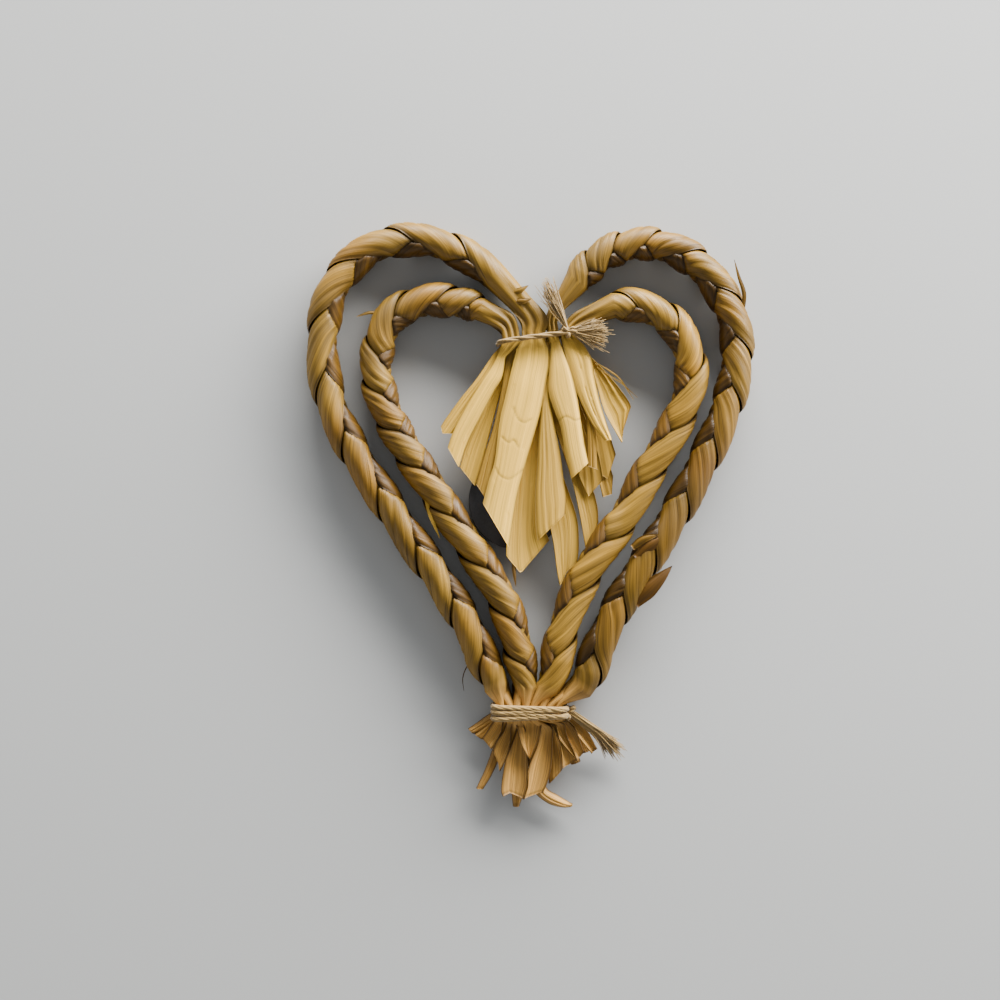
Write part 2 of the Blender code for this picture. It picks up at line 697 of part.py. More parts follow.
def main():
    clear_scene()
    shown = new_collection("straw_heart_ornament")
    cutters = new_collection("cutters", shown=False)
    straw = material("straw", STRAW_COLOUR, 0.45)
    twine = material("twine", TWINE_COLOUR, 0.9)
    ferrite = material("magnet_ferrite", MAGNET_COLOUR, 0.55)
    build_straws(plait_routes(), straw, shown)
    build_lower_tie(twine, shown, cutters)
    build_upper_tie(twine, shown, cutters)
    build_magnet(ferrite, shown)


main()
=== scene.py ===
"""Looks of the straw heart ornament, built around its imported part.

Each straw is one long creased sheet that runs from its tassel end, through the lower tie,
round its plait, through the upper tie and out into the fan. Lengths are in millimetres
until a mesh is made. X is the viewer's right, Y is towards the lobes, Z is up.
"""

import json
import math

import bpy
import numpy as np
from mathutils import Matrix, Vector

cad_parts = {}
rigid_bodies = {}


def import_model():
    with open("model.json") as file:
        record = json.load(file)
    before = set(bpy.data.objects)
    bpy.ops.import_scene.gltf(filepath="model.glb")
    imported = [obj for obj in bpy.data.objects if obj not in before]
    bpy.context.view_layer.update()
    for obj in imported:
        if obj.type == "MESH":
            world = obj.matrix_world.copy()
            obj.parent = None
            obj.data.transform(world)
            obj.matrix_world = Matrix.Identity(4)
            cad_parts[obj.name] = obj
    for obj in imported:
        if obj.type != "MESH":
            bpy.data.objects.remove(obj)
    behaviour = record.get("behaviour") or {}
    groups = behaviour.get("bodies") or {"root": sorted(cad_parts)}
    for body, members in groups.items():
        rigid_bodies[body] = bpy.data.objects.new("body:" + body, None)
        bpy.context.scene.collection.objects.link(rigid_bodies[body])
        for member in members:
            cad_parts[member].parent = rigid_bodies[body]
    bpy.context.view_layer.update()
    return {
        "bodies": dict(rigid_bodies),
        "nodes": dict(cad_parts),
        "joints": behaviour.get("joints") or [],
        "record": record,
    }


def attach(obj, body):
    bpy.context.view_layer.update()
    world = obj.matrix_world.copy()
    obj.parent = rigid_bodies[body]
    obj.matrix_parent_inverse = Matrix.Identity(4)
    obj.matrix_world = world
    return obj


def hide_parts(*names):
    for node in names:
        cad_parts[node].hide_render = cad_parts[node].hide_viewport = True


MM = 0.001

# Values of the part's plaits and ties
TOUCH_GAP = 0.3
PLAIT_RADIUS = 2.62
PLAIT_HALF = 3.295
PLAIT_AXIS_Z = 3.395
TWINE_RADIUS = 0.56
LOWER_TIE_X = 2.4
LOWER_TIE_Y = -39.1
LOWER_TIE_HALF = 1.48
LOWER_STRAW_PITCH = 1.54
LOWER_BUNDLE_PITCH = 3.08
LOWER_ROW_LIFT = 1.0
UPPER_TIE_Y = 31.2
UPPER_TIE_HALF = 0.86
UPPER_ROW_PITCH = 1.0
UPPER_TIE_Z = 3.8
UPPER_LEFT_X = -2.7
UPPER_COLUMN_GAP = 0.45
UPPER_TIE_DROOP = 1.8
TAPER_LENGTH_LOW = 9.0
TAPER_SHARE_LOW = 0.3
TAPER_BEND = 0.95
TAPER_LENGTH_HIGH = 12.0
TAPER_SHARE_HIGH = 0.55
GATHER_LENGTH = 2.8
FREE_LENGTH = 5.0
FAN_FLOOR_Z = 3.47
FAN_LAYER_PITCH = 0.64

# Light
WINDOW_AT = (0.27, 0.52, 0.15)
WINDOW_SIZE = (0.9, 0.26)
WINDOW_POWER = 35.0
WINDOW_COLOUR = (1.0, 0.985, 0.96)
ROOM_COLOUR = (0.97, 0.985, 1.0, 1)
SIDE_LIGHT = 1.6
OVERHEAD_LIGHT = 0.3
SIDE_RISE = 0.15
OVERHEAD_RISE = 0.6

# Camera, whose lens is in millimetres and place in metres, and floor
CAMERA_AT = (-0.00316, 0.00019, 0.3035)
LENS = 58.06
FLOOR_SIZE = 3.0
FLOOR_COLOUR = (0.46, 0.468, 0.464, 1)

# The straws as thin sheets
SHEET = 0.13
STREAK_HALF = 3.5
COLUMNS = 21
TASSEL_ROWS = 34
FAN_ROWS = 140
FAN_START = 10
WOVEN_START = 4
WOVEN_END = -7
ROWS_PER_PASS = 26
FRONT_HALF = math.radians(93)
SIDE_HALF = math.radians(70)
WEAVE_SHARPNESS = 9.0
TOP_LEVEL = 2.5
UNDER_LEVEL = 1.95
TOP_PUFF = 0.72
UNDER_PUFF = 0.1
PUFF_POWER = 2.9
SHINGLE = 0.32
EDGE_SWING = math.radians(15)
SWING_AT = math.radians(60)
STRAIGHTEN = 0.75
LOW_BULGE = 0.28

# How long a front straw stays on top, and how far a plait's face is turned outwards
OUTER_TIP = math.sin(math.radians(20))
INNER_TIP = math.sin(math.radians(36))
OUTER_ROLL = math.radians(3)
INNER_ROLL = math.radians(5)
SIDE_HOLD = 1.3
UNDER_SHIFT = 0.035

# Width and height left of a plait at the lower tie
LOW_WIDE = 0.7
LOW_TALL = 0.62

# Creases of a straw as (place across it, depth), and how fast they fade sideways
CREASES = ((-0.55, 0.24), (-0.05, 0.3), (0.5, 0.22))
CREASE_FADE = 0.075
FOLD_FADE = 0.09
CRACK_HALF = 0.19
CRACK_DEPTH = 0.06

# Rows of the grid in and next to the ties
TASSEL_START = 6
LOWER_STEPS = (6, 6, 10)
UPPER_STEPS = (14, 8, 4, 10)
ROW_ABOVE, HALF_ABOVE = 1.2, 0.86
ROW_BELOW, HALF_BELOW = 1.3, 0.84
PLEAT_DEPTH = 0.16

# Twine: wraps of the lower tie as (height, slant), strand sizes, knots and frayed ends
LOWER_WRAPS = ((-0.84, 0.04), (-0.28, -0.06), (0.28, 0.05), (0.84, -0.03))
LOWER_CORD = dict(radius=0.5, pitch=8.0, count=5)
UPPER_CORD = dict(radius=0.48, pitch=9.0, count=3)
KNOT_PITCH = 1.6
HAIR_STEP = 0.15
WRAP_SINK = 0.05
TAIL_FIBRES = 130
TAIL_STEPS = ((0, 0, 0), (2.6, -1.9, -0.1), (5.2, -3.9, -0.9), (7.2, -5.9, -1.7),
              (9.0, -8.0, -2.5))
TAIL_SPREAD = (0.2, 0.3, 0.38, 0.6, 1.0)
TAIL_LOWEST = 0.25
# Frayed upper ends as (hairs, reach, spread): the brush, then the thin end
FRAYED = ((300, (6.3, -0.6, -0.4), (0.8, 1.35, 0.35)), (130, (-4.2, 8.6, 0.2), (0.7, 0.8, 0.25)))

# Magnet's rim as (radius, height)
MAGNET_RIM = ((8.75, 0), (8.93, 0.07), (9, 0.25), (9, 2.75), (8.93, 2.93), (8.75, 3.0))
MAGNET_SIDES = 120


class Blade:
    """One cut straw end: its left and right edges from the tie outwards, an optional tip between
    them as (share from the left, x, y), its tone, which is partly its own colour and partly
    painted shade, how far it rises and the cracks across it."""

    def __init__(self, left, right, tone, tip=None, lift=0.0, arch=0.35, cracks=()):
        self.left = left
        self.right = right
        self.tone = tone
        self.tip = tip
        self.lift = lift
        self.arch = arch
        self.cracks = cracks


class Plait:
    def __init__(self, name, place, route, passes, winding, column_half, fan, tassel):
        self.name = name
        self.place = place
        self.route = route
        self.passes = passes
        self.winding = winding
        self.column_half = column_half
        self.fan = fan
        self.tassel = tassel


# Fan blades from the top layer to the bottom one, tassel ends front left, front right,
# back left, back right
OUTER_LEFT = Plait(
    "outer_left", 0,
    route=[(-3.1, -36.0), (-4.0, -33.3), (-5.9, -29.6), (-9.3, -22.9), (-14.0, -15.2),
           (-19.3, -7.8), (-24.9, 0.7), (-30.7, 9.9), (-34.8, 18.8), (-36.2, 29.0),
           (-34.2, 39.6), (-27.0, 47.1), (-17.1, 48.5), (-9.1, 45.4), (-2.0, 39.8),
           (1.9, 35.3)],
    passes=[4.6, 16.7, 27.9, 40.5, 53.4, 64.7, 77.3, 87.8, 99.4, 110.7, 122.2],
    winding=1, column_half=2.1,
    fan=[
        Blade([(0.4, 30.3), (-0.9, 24.7), (-2.2, 19.2), (-3.2, 14.7), (-4.1, 7.6),
               (-5.2, 3.9), (-6.3, -0.4)],
              [(5.8, 31.1), (6.0, 26.0), (5.4, 22.5), (4.1, 15.8), (1.7, 7.4),
               (-0.2, 0.2), (-1.5, -8.6)], 1.0, arch=0.5,
              cracks=[[(-0.7, 17.3), (0.2, 15.1), (1.3, 14.5), (2.4, 15.1)],
                      [(-2.8, 11.9), (-1.7, 10.8), (-0.7, 11.3), (0.2, 10.0)],
                      [(-3.9, 6.1), (-3.2, 4.7), (-1.7, 4.1), (-0.4, 4.7), (0.9, 5.8)]]),
        Blade([(-1.3, 29.0), (-2.2, 25.1), (-3.2, 18.8), (-4.5, 13.2), (-6.0, 8.7),
               (-7.6, 3.2)],
              [(0.7, 29.6), (-0.7, 24.4), (-1.9, 18.8), (-2.8, 13.2), (-3.9, 7.3),
               (-5.2, -0.5)], 0.45),
        Blade([(0.9, 29.6), (0.6, 20.6), (-0.4, 9.5), (-1.3, 0.2), (-1.9, -7.3),
               (-2.0, -10.2)],
              [(5.8, 29.9), (5.2, 20.6), (4.5, 11.3), (4.1, 2.0), (4.5, -3.5),
               (6.0, -7.3)], 0.75, tip=(0.42, 0.7, -13.4), arch=0.5),
        Blade([(1.3, 28.5), (4.5, 20.6), (7.8, 11.3), (10.2, 3.9), (11.7, -2.6),
               (13.0, -10.2)],
              [(3.2, 28.5), (7.3, 20.6), (11.2, 11.3), (13.6, 3.9), (14.9, -0.7),
               (15.1, -3.9)], 0.6),
    ],
    tassel=[
        Blade([(-3.3, -40.0), (-4.7, -41.9), (-6.1, -43.7), (-6.5, -44.1)],
              [(-2.0, -40.0), (-2.6, -42.6), (-3.9, -44.6), (-4.8, -46.1)], 0.85),
        Blade([(-2.2, -40.0), (-2.6, -42.6), (-3.7, -44.8), (-4.5, -46.5)],
              [(-0.4, -40.0), (-0.4, -42.6), (-1.7, -46.7), (-3.2, -50.2)], 0.6,
              tip=(0.5, -3.5, -48.7)),
        Blade([(-3.7, -39.2), (-5.8, -40.5), (-7.6, -41.7), (-9.1, -42.6)],
              [(-2.8, -40.0), (-4.7, -41.5), (-6.3, -42.6), (-8.2, -43.5)], 0.5),
        Blade([(-3.2, -39.6), (-5.0, -41.1), (-6.7, -42.6), (-8.0, -43.5)],
              [(-2.2, -40.0), (-3.9, -42.0), (-5.4, -43.5), (-6.5, -44.6)], 0.6),
    ],
)

INNER_LEFT = Plait(
    "inner_left", 1,
    route=[(1.3, -36.0), (1.4, -33.3), (0.6, -29.0), (-2.3, -19.2), (-6.9, -11.2),
           (-11.8, -3.9), (-16.4, 3.3), (-21.2, 10.8), (-24.9, 18.4), (-26.2, 26.2),
           (-23.6, 33.9), (-17.3, 37.2), (-9.9, 36.8), (-4.6, 34.6), (-1.9, 32.9)],
    passes=[3.8, 11.1, 20.8, 32.4, 43.9, 53.1, 60.1, 68.0, 75.2, 84.8, 92.6, 97.2],
    winding=-1, column_half=1.6,
    fan=[
        Blade([(-3.7, 28.3), (-3.9, 26.2), (-6.5, 22.1), (-9.1, 17.9), (-11.7, 13.0),
               (-12.8, 9.9)],
              [(-1.7, 28.3), (-2.2, 26.2), (-2.8, 22.9), (-4.3, 20.3), (-6.7, 15.8),
               (-9.1, 11.2), (-10.8, 6.3)], 0.95, arch=0.45),
        Blade([(-3.9, 28.1), (-7.3, 22.9), (-10.2, 19.3), (-12.8, 15.8), (-14.1, 13.8)],
              [(-2.4, 28.1), (-4.3, 23.4), (-6.9, 19.5), (-9.5, 15.4), (-11.7, 12.5)],
              0.7, tip=(0.35, -13.8, 12.5)),
        Blade([(-2.6, 28.1), (-3.7, 23.2), (-6.3, 16.9), (-9.1, 11.3), (-10.6, 6.3)],
              [(-1.1, 28.5), (-2.2, 22.9), (-3.3, 19.2), (-4.7, 14.1), (-6.1, 8.6),
               (-7.8, 2.8)], 0.82),
        Blade([(-2.0, 27.7), (0.6, 18.8), (3.0, 9.5), (5.0, 0.2), (6.7, -7.3),
               (7.4, -12.5), (8.0, -15.8)],
              [(-0.6, 27.7), (3.3, 18.8), (6.7, 9.5), (9.5, 2.0), (11.2, -3.5),
               (11.5, -8.4), (11.2, -11.3)], 0.7, tip=(0.75, 9.3, -13.2)),
    ],
    tassel=[
        Blade([(-0.9, -40.0), (-0.9, -44.5), (-2.0, -49.1), (-2.8, -53.4), (-2.6, -54.9)],
              [(0.9, -40.0), (1.5, -44.5), (1.7, -49.1), (1.9, -52.8), (1.3, -55.4)],
              0.6, tip=(0.3, -1.3, -54.3)),
        Blade([(0.2, -40.0), (0.6, -42.6), (1.1, -45.4), (2.2, -47.6)],
              [(3.9, -40.0), (3.9, -42.2), (3.5, -44.8), (2.4, -47.8)], 0.8, lift=0.9),
        Blade([(-2.4, -41.1), (-4.3, -46.3), (-6.0, -50.6), (-7.6, -53.8)],
              [(-1.3, -41.1), (-2.8, -46.3), (-4.7, -51.0), (-6.3, -53.8)], 0.4),
        Blade([(-0.6, -41.1), (-0.9, -48.2), (-0.9, -53.8), (-0.7, -57.1)],
              [(1.3, -41.1), (1.3, -48.2), (1.3, -53.8), (0.4, -57.1)], 0.45),
    ],
)

INNER_RIGHT = Plait(
    "inner_right", 2,
    route=[(4.7, -35.6), (6.1, -32.4), (7.5, -28.0), (10.4, -18.6), (14.9, -10.2),
           (19.9, -3.2), (23.6, 3.9), (28.0, 11.3), (31.6, 18.8), (32.4, 26.2),
           (28.5, 33.7), (21.4, 36.6), (15.1, 35.6), (11.0, 33.2)],
    passes=[4.0, 15.0, 27.2, 38.6, 51.0, 62.2, 72.0, 81.5, 90.8],
    winding=1, column_half=1.3,
    fan=[
        Blade([(7.8, 31.1), (9.1, 26.6), (11.0, 20.3), (13.6, 14.7), (16.2, 11.2)],
              [(11.5, 30.3), (12.8, 28.3), (13.9, 26.0), (14.3, 23.2), (15.4, 18.0),
               (17.5, 11.3)], 0.85),
        Blade([(8.0, 29.9), (9.1, 25.3), (10.6, 20.6), (11.9, 17.9), (12.8, 15.0),
               (13.0, 6.5)],
              [(9.1, 29.9), (10.6, 25.3), (12.1, 21.0), (13.2, 18.4), (14.3, 15.4),
               (14.9, 5.8)], 0.4),
        Blade([(9.5, 29.0), (12.8, 26.6), (14.7, 21.8), (16.0, 17.3), (17.7, 13.9),
               (19.5, 10.8)],
              [(11.0, 29.4), (15.4, 25.1), (18.8, 21.2), (21.0, 18.0), (20.8, 16.6),
               (19.7, 13.2)], 0.75),
        Blade([(9.1, 29.0), (11.0, 24.4), (12.5, 19.2), (13.0, 13.2), (13.2, 6.5)],
              [(10.8, 29.0), (13.6, 23.4), (15.4, 17.9), (17.1, 12.8), (18.4, 8.7)],
              0.55, tip=(0.62, 16.9, 4.1)),
    ],
    tassel=[
        Blade([(4.5, -40.0), (4.3, -44.5), (2.6, -49.1), (1.7, -52.8), (1.1, -55.4)],
              [(6.5, -40.0), (6.3, -44.5), (6.1, -49.1), (5.6, -51.9), (4.8, -54.1)],
              0.7),
        Blade([(7.1, -40.0), (8.0, -44.5), (8.4, -47.2), (8.4, -49.7)],
              [(8.4, -40.0), (9.1, -43.5), (10.4, -46.3), (11.2, -48.2)], 0.55),
        Blade([(2.4, -41.1), (2.4, -48.2), (3.2, -53.8), (5.8, -56.4), (8.7, -57.3),
               (10.2, -57.1)],
              [(4.3, -41.1), (4.5, -48.2), (5.2, -53.4), (7.6, -55.1), (9.5, -56.2),
               (10.4, -56.7)], 0.65),
        Blade([(5.4, -40.4), (6.1, -44.5), (6.1, -49.1), (6.0, -52.8)],
              [(6.7, -40.4), (7.6, -44.5), (8.4, -47.6), (8.4, -50.2)], 0.5, lift=0.5),
    ],
)

OUTER_RIGHT = Plait(
    "outer_right", 3,
    route=[(8.6, -35.4), (11.2, -32.0), (14.3, -28.2), (17.3, -22.5), (21.6, -14.7),
           (26.4, -7.4), (30.9, 0.2), (34.6, 7.3), (38.0, 14.7), (40.7, 24.0),
           (40.2, 34.0), (34.4, 43.5), (25.9, 47.8), (17.7, 46.7), (12.3, 42.4),
           (9.3, 37.4), (7.4, 33.6)],
    passes=[6.8, 19.5, 30.2, 41.8, 52.8, 64.2, 73.4, 83.0, 93.2, 101.4, 108.0, 114.0,
            119.8],
    winding=-1, column_half=1.0,
    fan=[
        Blade([(6.3, 31.1), (6.1, 26.0), (5.8, 20.6), (6.9, 16.7), (8.0, 13.8),
               (8.7, 10.0), (10.0, 4.1)],
              [(7.4, 31.1), (8.7, 27.3), (10.2, 23.4), (11.2, 18.8), (11.9, 14.1),
               (12.5, 10.2), (13.2, 7.1)], 0.9, arch=0.5,
              cracks=[[(7.8, 14.9), (9.1, 15.6), (10.6, 14.9), (11.9, 15.3)]]),
        Blade([(4.5, 29.9), (4.7, 24.0), (4.5, 17.9), (4.0, 11.5), (3.7, 6.1),
               (3.3, 0.9), (3.5, -5.4), (3.9, -7.3)],
              [(6.3, 29.9), (6.0, 24.0), (6.0, 19.0), (6.9, 14.1), (8.0, 8.7),
               (8.7, 3.5), (9.1, 0.7), (8.9, -2.4)], 0.65, arch=0.45),
        Blade([(6.1, 29.0), (7.6, 22.5), (9.5, 15.1), (11.0, 8.6), (11.5, 4.7)],
              [(7.6, 29.0), (9.9, 22.5), (12.8, 15.1), (15.1, 8.6), (16.0, 3.9)], 0.55,
              tip=(0.5, 13.3, 0.9)),
        Blade([(6.7, 28.5), (9.1, 20.6), (12.5, 12.3), (14.7, 5.8), (16.0, 0.7)],
              [(8.0, 28.5), (11.0, 20.6), (14.5, 13.2), (16.9, 7.6), (17.9, 4.7)], 0.45,
              tip=(0.7, 17.7, 1.3), lift=-0.3),
    ],
    tassel=[
        Blade([(6.5, -40.0), (7.8, -43.5), (9.3, -45.8), (11.2, -48.2)],
              [(8.0, -40.0), (10.2, -41.9), (11.5, -44.5), (12.5, -46.7)], 0.6),
        Blade([(7.8, -40.0), (10.0, -41.5), (11.5, -43.7), (13.9, -46.9)],
              [(8.7, -39.6), (11.2, -41.1), (13.2, -43.2), (14.9, -46.1)], 0.65),
        Blade([(6.1, -40.4), (7.6, -43.5), (9.1, -46.3), (10.2, -49.3)],
              [(7.3, -40.4), (9.1, -43.5), (10.8, -46.3), (11.9, -48.7)], 0.45),
        Blade([(7.3, -40.0), (9.5, -42.6), (11.2, -44.8), (12.5, -47.1)],
              [(8.2, -40.0), (10.4, -41.9), (12.3, -44.5), (13.6, -46.7)], 0.5),
    ],
)

PLAITS = [OUTER_LEFT, INNER_LEFT, INNER_RIGHT, OUTER_RIGHT]


# Torn strips, thorns and hairs of each straw: middle line from the root, half width, tone
SLIVERS = {
    "outer_right_straw_1": [
        ([(41.9, 35.2, 4.6), (42.0, 38.4, 5.2), (40.9, 41.6, 5.6), (40.1, 44.6, 5.6)],
         0.4, 0.1),
        ([(22.0, -10.6, 6.0), (24.6, -8.2, 6.5), (27.4, -6.6, 6.2), (29.4, -5.6, 5.6)],
         1.3, 0.0),
    ],
    "outer_right_straw_2": [
        ([(21.6, -19.0, 5.4), (24.2, -16.4, 5.9), (26.8, -13.9, 5.6), (28.7, -12.0, 5.0)],
         1.8, 0.0),
        ([(21.2, -8.6, 6.2), (23.4, -7.0, 6.6), (26.2, -6.2, 6.2)], 0.8, 0.08),
    ],
    "outer_right_straw_3": [
        ([(23.4, -17.6, 4.8), (26.0, -15.6, 4.9), (27.6, -14.6, 4.4)], 0.7, 0.05),
    ],
    "outer_left_straw_1": [
        ([(-1.2, 38.4, 5.8), (0.6, 38.9, 6.1), (2.1, 39.8, 5.7)], 0.6, 0.15),
        ([(-0.2, 36.9, 6.0), (1.2, 36.9, 6.2), (2.6, 37.3, 5.8)], 0.6, 0.1),
    ],
    "outer_left_straw_3": [
        ([(-0.6, -10.6, 3.6), (-0.55, -13.0, 3.6), (-0.2, -16.0, 3.5)], 0.36, 0.06),
        ([(-7.4, -28.6, 4.0), (-9.2, -30.6, 3.6), (-10.1, -33.0, 3.0),
          (-9.9, -35.4, 2.4)], 0.07, 0.0),
    ],
    "inner_left_straw_1": [
        ([(-25.4, 34.8, 4.4), (-27.4, 34.9, 4.6), (-29.8, 34.2, 4.3)], 0.3, 0.2),
        ([(-16.9, 0.2, 4.8), (-15.9, -3.0, 5.2), (-14.3, -6.9, 4.8)], 0.36, 1.0),
    ],
    "inner_left_straw_2": [
        ([(1.2, -23.4, 6.0), (0.2, -25.2, 6.1), (-1.0, -27.0, 5.4)], 0.5, 0.3),
    ],
    "inner_right_straw_3": [
        ([(14.6, 25.6, 4.6), (17.0, 24.2, 4.9), (19.2, 22.4, 4.9), (21.6, 18.8, 4.4)],
         0.12, 0.35),
        ([(14.8, 24.8, 4.6), (17.6, 22.9, 5.0), (19.6, 21.6, 4.8), (22.3, 19.2, 4.3)],
         0.08, 0.3),
    ],
}


# Routes of the plaits, worked out as in the part


def lerp(low, high, share):
    return low + (high - low) * share


def curve_through(points, step=0.5):
    """Evenly spaced points on a smooth curve through the given ones."""
    ends = [points[0] * 2 - points[1], *points, points[-1] * 2 - points[-2]]
    dense = []
    for before, start, end, after in zip(ends, ends[1:], ends[2:], ends[3:]):
        pieces = max(2, round((end - start).length / step))
        for piece in range(pieces):
            t = piece / pieces
            bend = (2 * start, end - before, 2 * before - 5 * start + 4 * end - after,
                    3 * start - before - 3 * end + after)
            dense.append(0.5 * (bend[0] + bend[1] * t + bend[2] * t * t + bend[3] * t ** 3))
    return dense + [points[-1].copy()]


def distances(points):
    along = [0.0]
    for start, end in zip(points, points[1:]):
        along.append(along[-1] + (end - start).length)
    return along


def points_at(wanted, along, points):
    """Points of a polyline at the wanted distances along it."""
    return np.stack([np.interp(wanted, along, points[:, axis])
                     for axis in range(points.shape[1])], -1)


class Route:
    """A plait's middle line, which gives points and directions for an array of distances."""

    def __init__(self, points):
        self.along = np.array(distances(points))
        self.points = np.array([tuple(point) for point in points])
        self.length = self.along[-1]

    def at(self, distance):
        distance = np.asarray(distance, float)
        found = points_at(distance, self.along, self.points)
        first = self.points[1] - self.points[0]
        first /= np.linalg.norm(first)
        last = self.points[-1] - self.points[-2]
        last /= np.linalg.norm(last)
        found += np.minimum(distance, 0)[..., None] * first
        return found + np.maximum(distance - self.length, 0)[..., None] * last

    def heading(self, distance, reach=1.0):
        way = self.at(np.asarray(distance) + reach) - self.at(np.asarray(distance) - reach)
        return way / np.linalg.norm(way, axis=-1, keepdims=True)


def girth(distance, length):
    opened = min(1.0, max(0.0, distance / TAPER_LENGTH_LOW)) ** TAPER_BEND
    low = lerp(TAPER_SHARE_LOW, 1.0, opened)
    high = lerp(TAPER_SHARE_HIGH, 1.0, min(1.0, (length - distance) / TAPER_LENGTH_HIGH))
    return min(low, high)


def reach_of(distance, length):
    return PLAIT_RADIUS * girth(distance, length) + PLAIT_HALF - PLAIT_RADIUS


def lower_bundle_x(place):
    return LOWER_TIE_X + (place - 1.5) * LOWER_BUNDLE_PITCH


def upper_columns():
    order = ["inner_left", "outer_left", "outer_right", "inner_right"]
    halves = {plait.name: plait.column_half for plait in PLAITS}
    edge = UPPER_LEFT_X
    middles = {}
    for name in order:
        middles[name] = edge + halves[name]
        edge += 2 * halves[name] + UPPER_COLUMN_GAP
    return middles, edge - UPPER_COLUMN_GAP


def upper_tie_y(x):
    """The upper twine dips towards its left end."""
    _, right = upper_columns()
    share = (right - x) / (right - UPPER_LEFT_X)
    return UPPER_TIE_Y - UPPER_TIE_DROOP * share ** 2


def push_off(route, other, own_side):
    """Moves a route sideways wherever its plait would run into the other one."""
    first, second = distances(route), distances(other)
    moved = []
    for index, point in enumerate(route):
        near = min(range(len(other)), key=lambda place: (other[place] - point).length_squared)
        apart = point - other[near]
        needed = reach_of(first[index], first[-1])
        needed += reach_of(second[near], second[-1]) + TOUCH_GAP
        from_tie = min(first[index], first[-1] - first[index])
        freedom = max(0.0, min(1.0, (from_tie - 1.0) / FREE_LENGTH))
        if apart.length < needed:
            way = own_side if apart.length < 1e-6 else apart.normalized()
            point = point.lerp(other[near] + way * needed, freedom)
        moved.append(point)
    return smoothed(moved)


def smoothed(points, rounds=6):
    for _ in range(rounds):
        middle = [(before + point * 2 + after) / 4
                  for before, point, after in zip(points, points[1:], points[2:])]
        points = [points[0], *middle, points[-1]]
    return points


def plait_routes():
    columns, _ = upper_columns()
    routes = {}
    for plait in PLAITS:
        low_y = LOWER_TIE_Y + LOWER_TIE_HALF
        start = Vector((lower_bundle_x(plait.place), low_y, PLAIT_AXIS_Z))
        high_x = columns[plait.name]
        end = Vector((high_x, upper_tie_y(high_x) + UPPER_TIE_HALF, UPPER_TIE_Z))
        middle = [Vector((x, y, PLAIT_AXIS_Z)) for x, y in plait.route]
        routes[plait.name] = curve_through([start, *middle, end])
    left, right = Vector((-1, 0, 0)), Vector((1, 0, 0))
    for _ in range(3):
        routes["inner_right"] = push_off(routes["inner_right"], routes["inner_left"], right)
        routes["outer_left"] = push_off(routes["outer_left"], routes["inner_left"], left)
        routes["outer_right"] = push_off(routes["outer_right"], routes["inner_right"], right)
    return {name: Route(points) for name, points in routes.items()}


# Grids of points


def unit(vectors):
    return vectors / np.maximum(np.linalg.norm(vectors, axis=-1, keepdims=True), 1e-9)


def lengths_along(points):
    steps = np.linalg.norm(np.diff(points, axis=0), axis=1)
    return np.concatenate([[0], np.cumsum(steps)])


def smoothstep(low, high, value):
    share = np.clip((value - low) / (high - low), 0, 1)
    return share * share * (3 - 2 * share)


def wander(dice, size, count):
    """A smooth random line of values from about -1 to 1 with the given number of swings."""
    knots = dice.uniform(-1, 1, max(int(count), 2) + 3)
    place = np.linspace(0, len(knots) - 1, size)
    low = np.minimum(place.astype(int), len(knots) - 2)
    share = place - low
    share = share * share * (3 - 2 * share)
    return knots[low] * (1 - share) + knots[low + 1] * share


def resample(points, count, step=0.4):
    """Even steps along a smooth curve through points, which are flat or have a height."""
    dense = curve_through([Vector((*point, 0)[:3]) for point in points], step)
    along = np.array(distances(dense))
    line = np.array([point[:len(points[0])] for point in dense])
    return points_at(np.linspace(0, along[-1], count), along, line)


def between(rows, steps):
    """Fills in rows between key rows with a smooth curve along each column; steps says how
    many rows follow each key row before the next."""
    keys = np.array(rows)
    ends = np.concatenate([keys[:1] * 2 - keys[1:2], keys, keys[-1:] * 2 - keys[-2:-1]])
    made = []
    for index, count in enumerate(steps):
        before, start, end, after = ends[index:index + 4]
        for step in range(count):
            t = step / count
            slope_in = (end - before) / 2
            slope_out = (after - start) / 2
            made.append((2 * t ** 3 - 3 * t * t + 1) * start + (t ** 3 - 2 * t * t + t) * slope_in
                        + (3 * t * t - 2 * t ** 3) * end + (t ** 3 - t * t) * slope_out)
    made.append(keys[-1])
    return np.array(made)


ACROSS = np.linspace(-1, 1, COLUMNS)


def shown_angle(turn):
    """Flattens the round of the plait, so that its passes look straight."""
    wrapped = (turn + math.pi) % (2 * math.pi) - math.pi
    back = np.abs(wrapped) > math.pi / 2
    near = np.where(back, np.sign(wrapped) * math.pi - wrapped, wrapped)
    flat = np.arcsin(np.clip(near / (math.pi / 2), -1, 1))
    near = lerp(near, flat, STRAIGHTEN)
    return np.where(back, np.sign(wrapped) * math.pi - near, near)


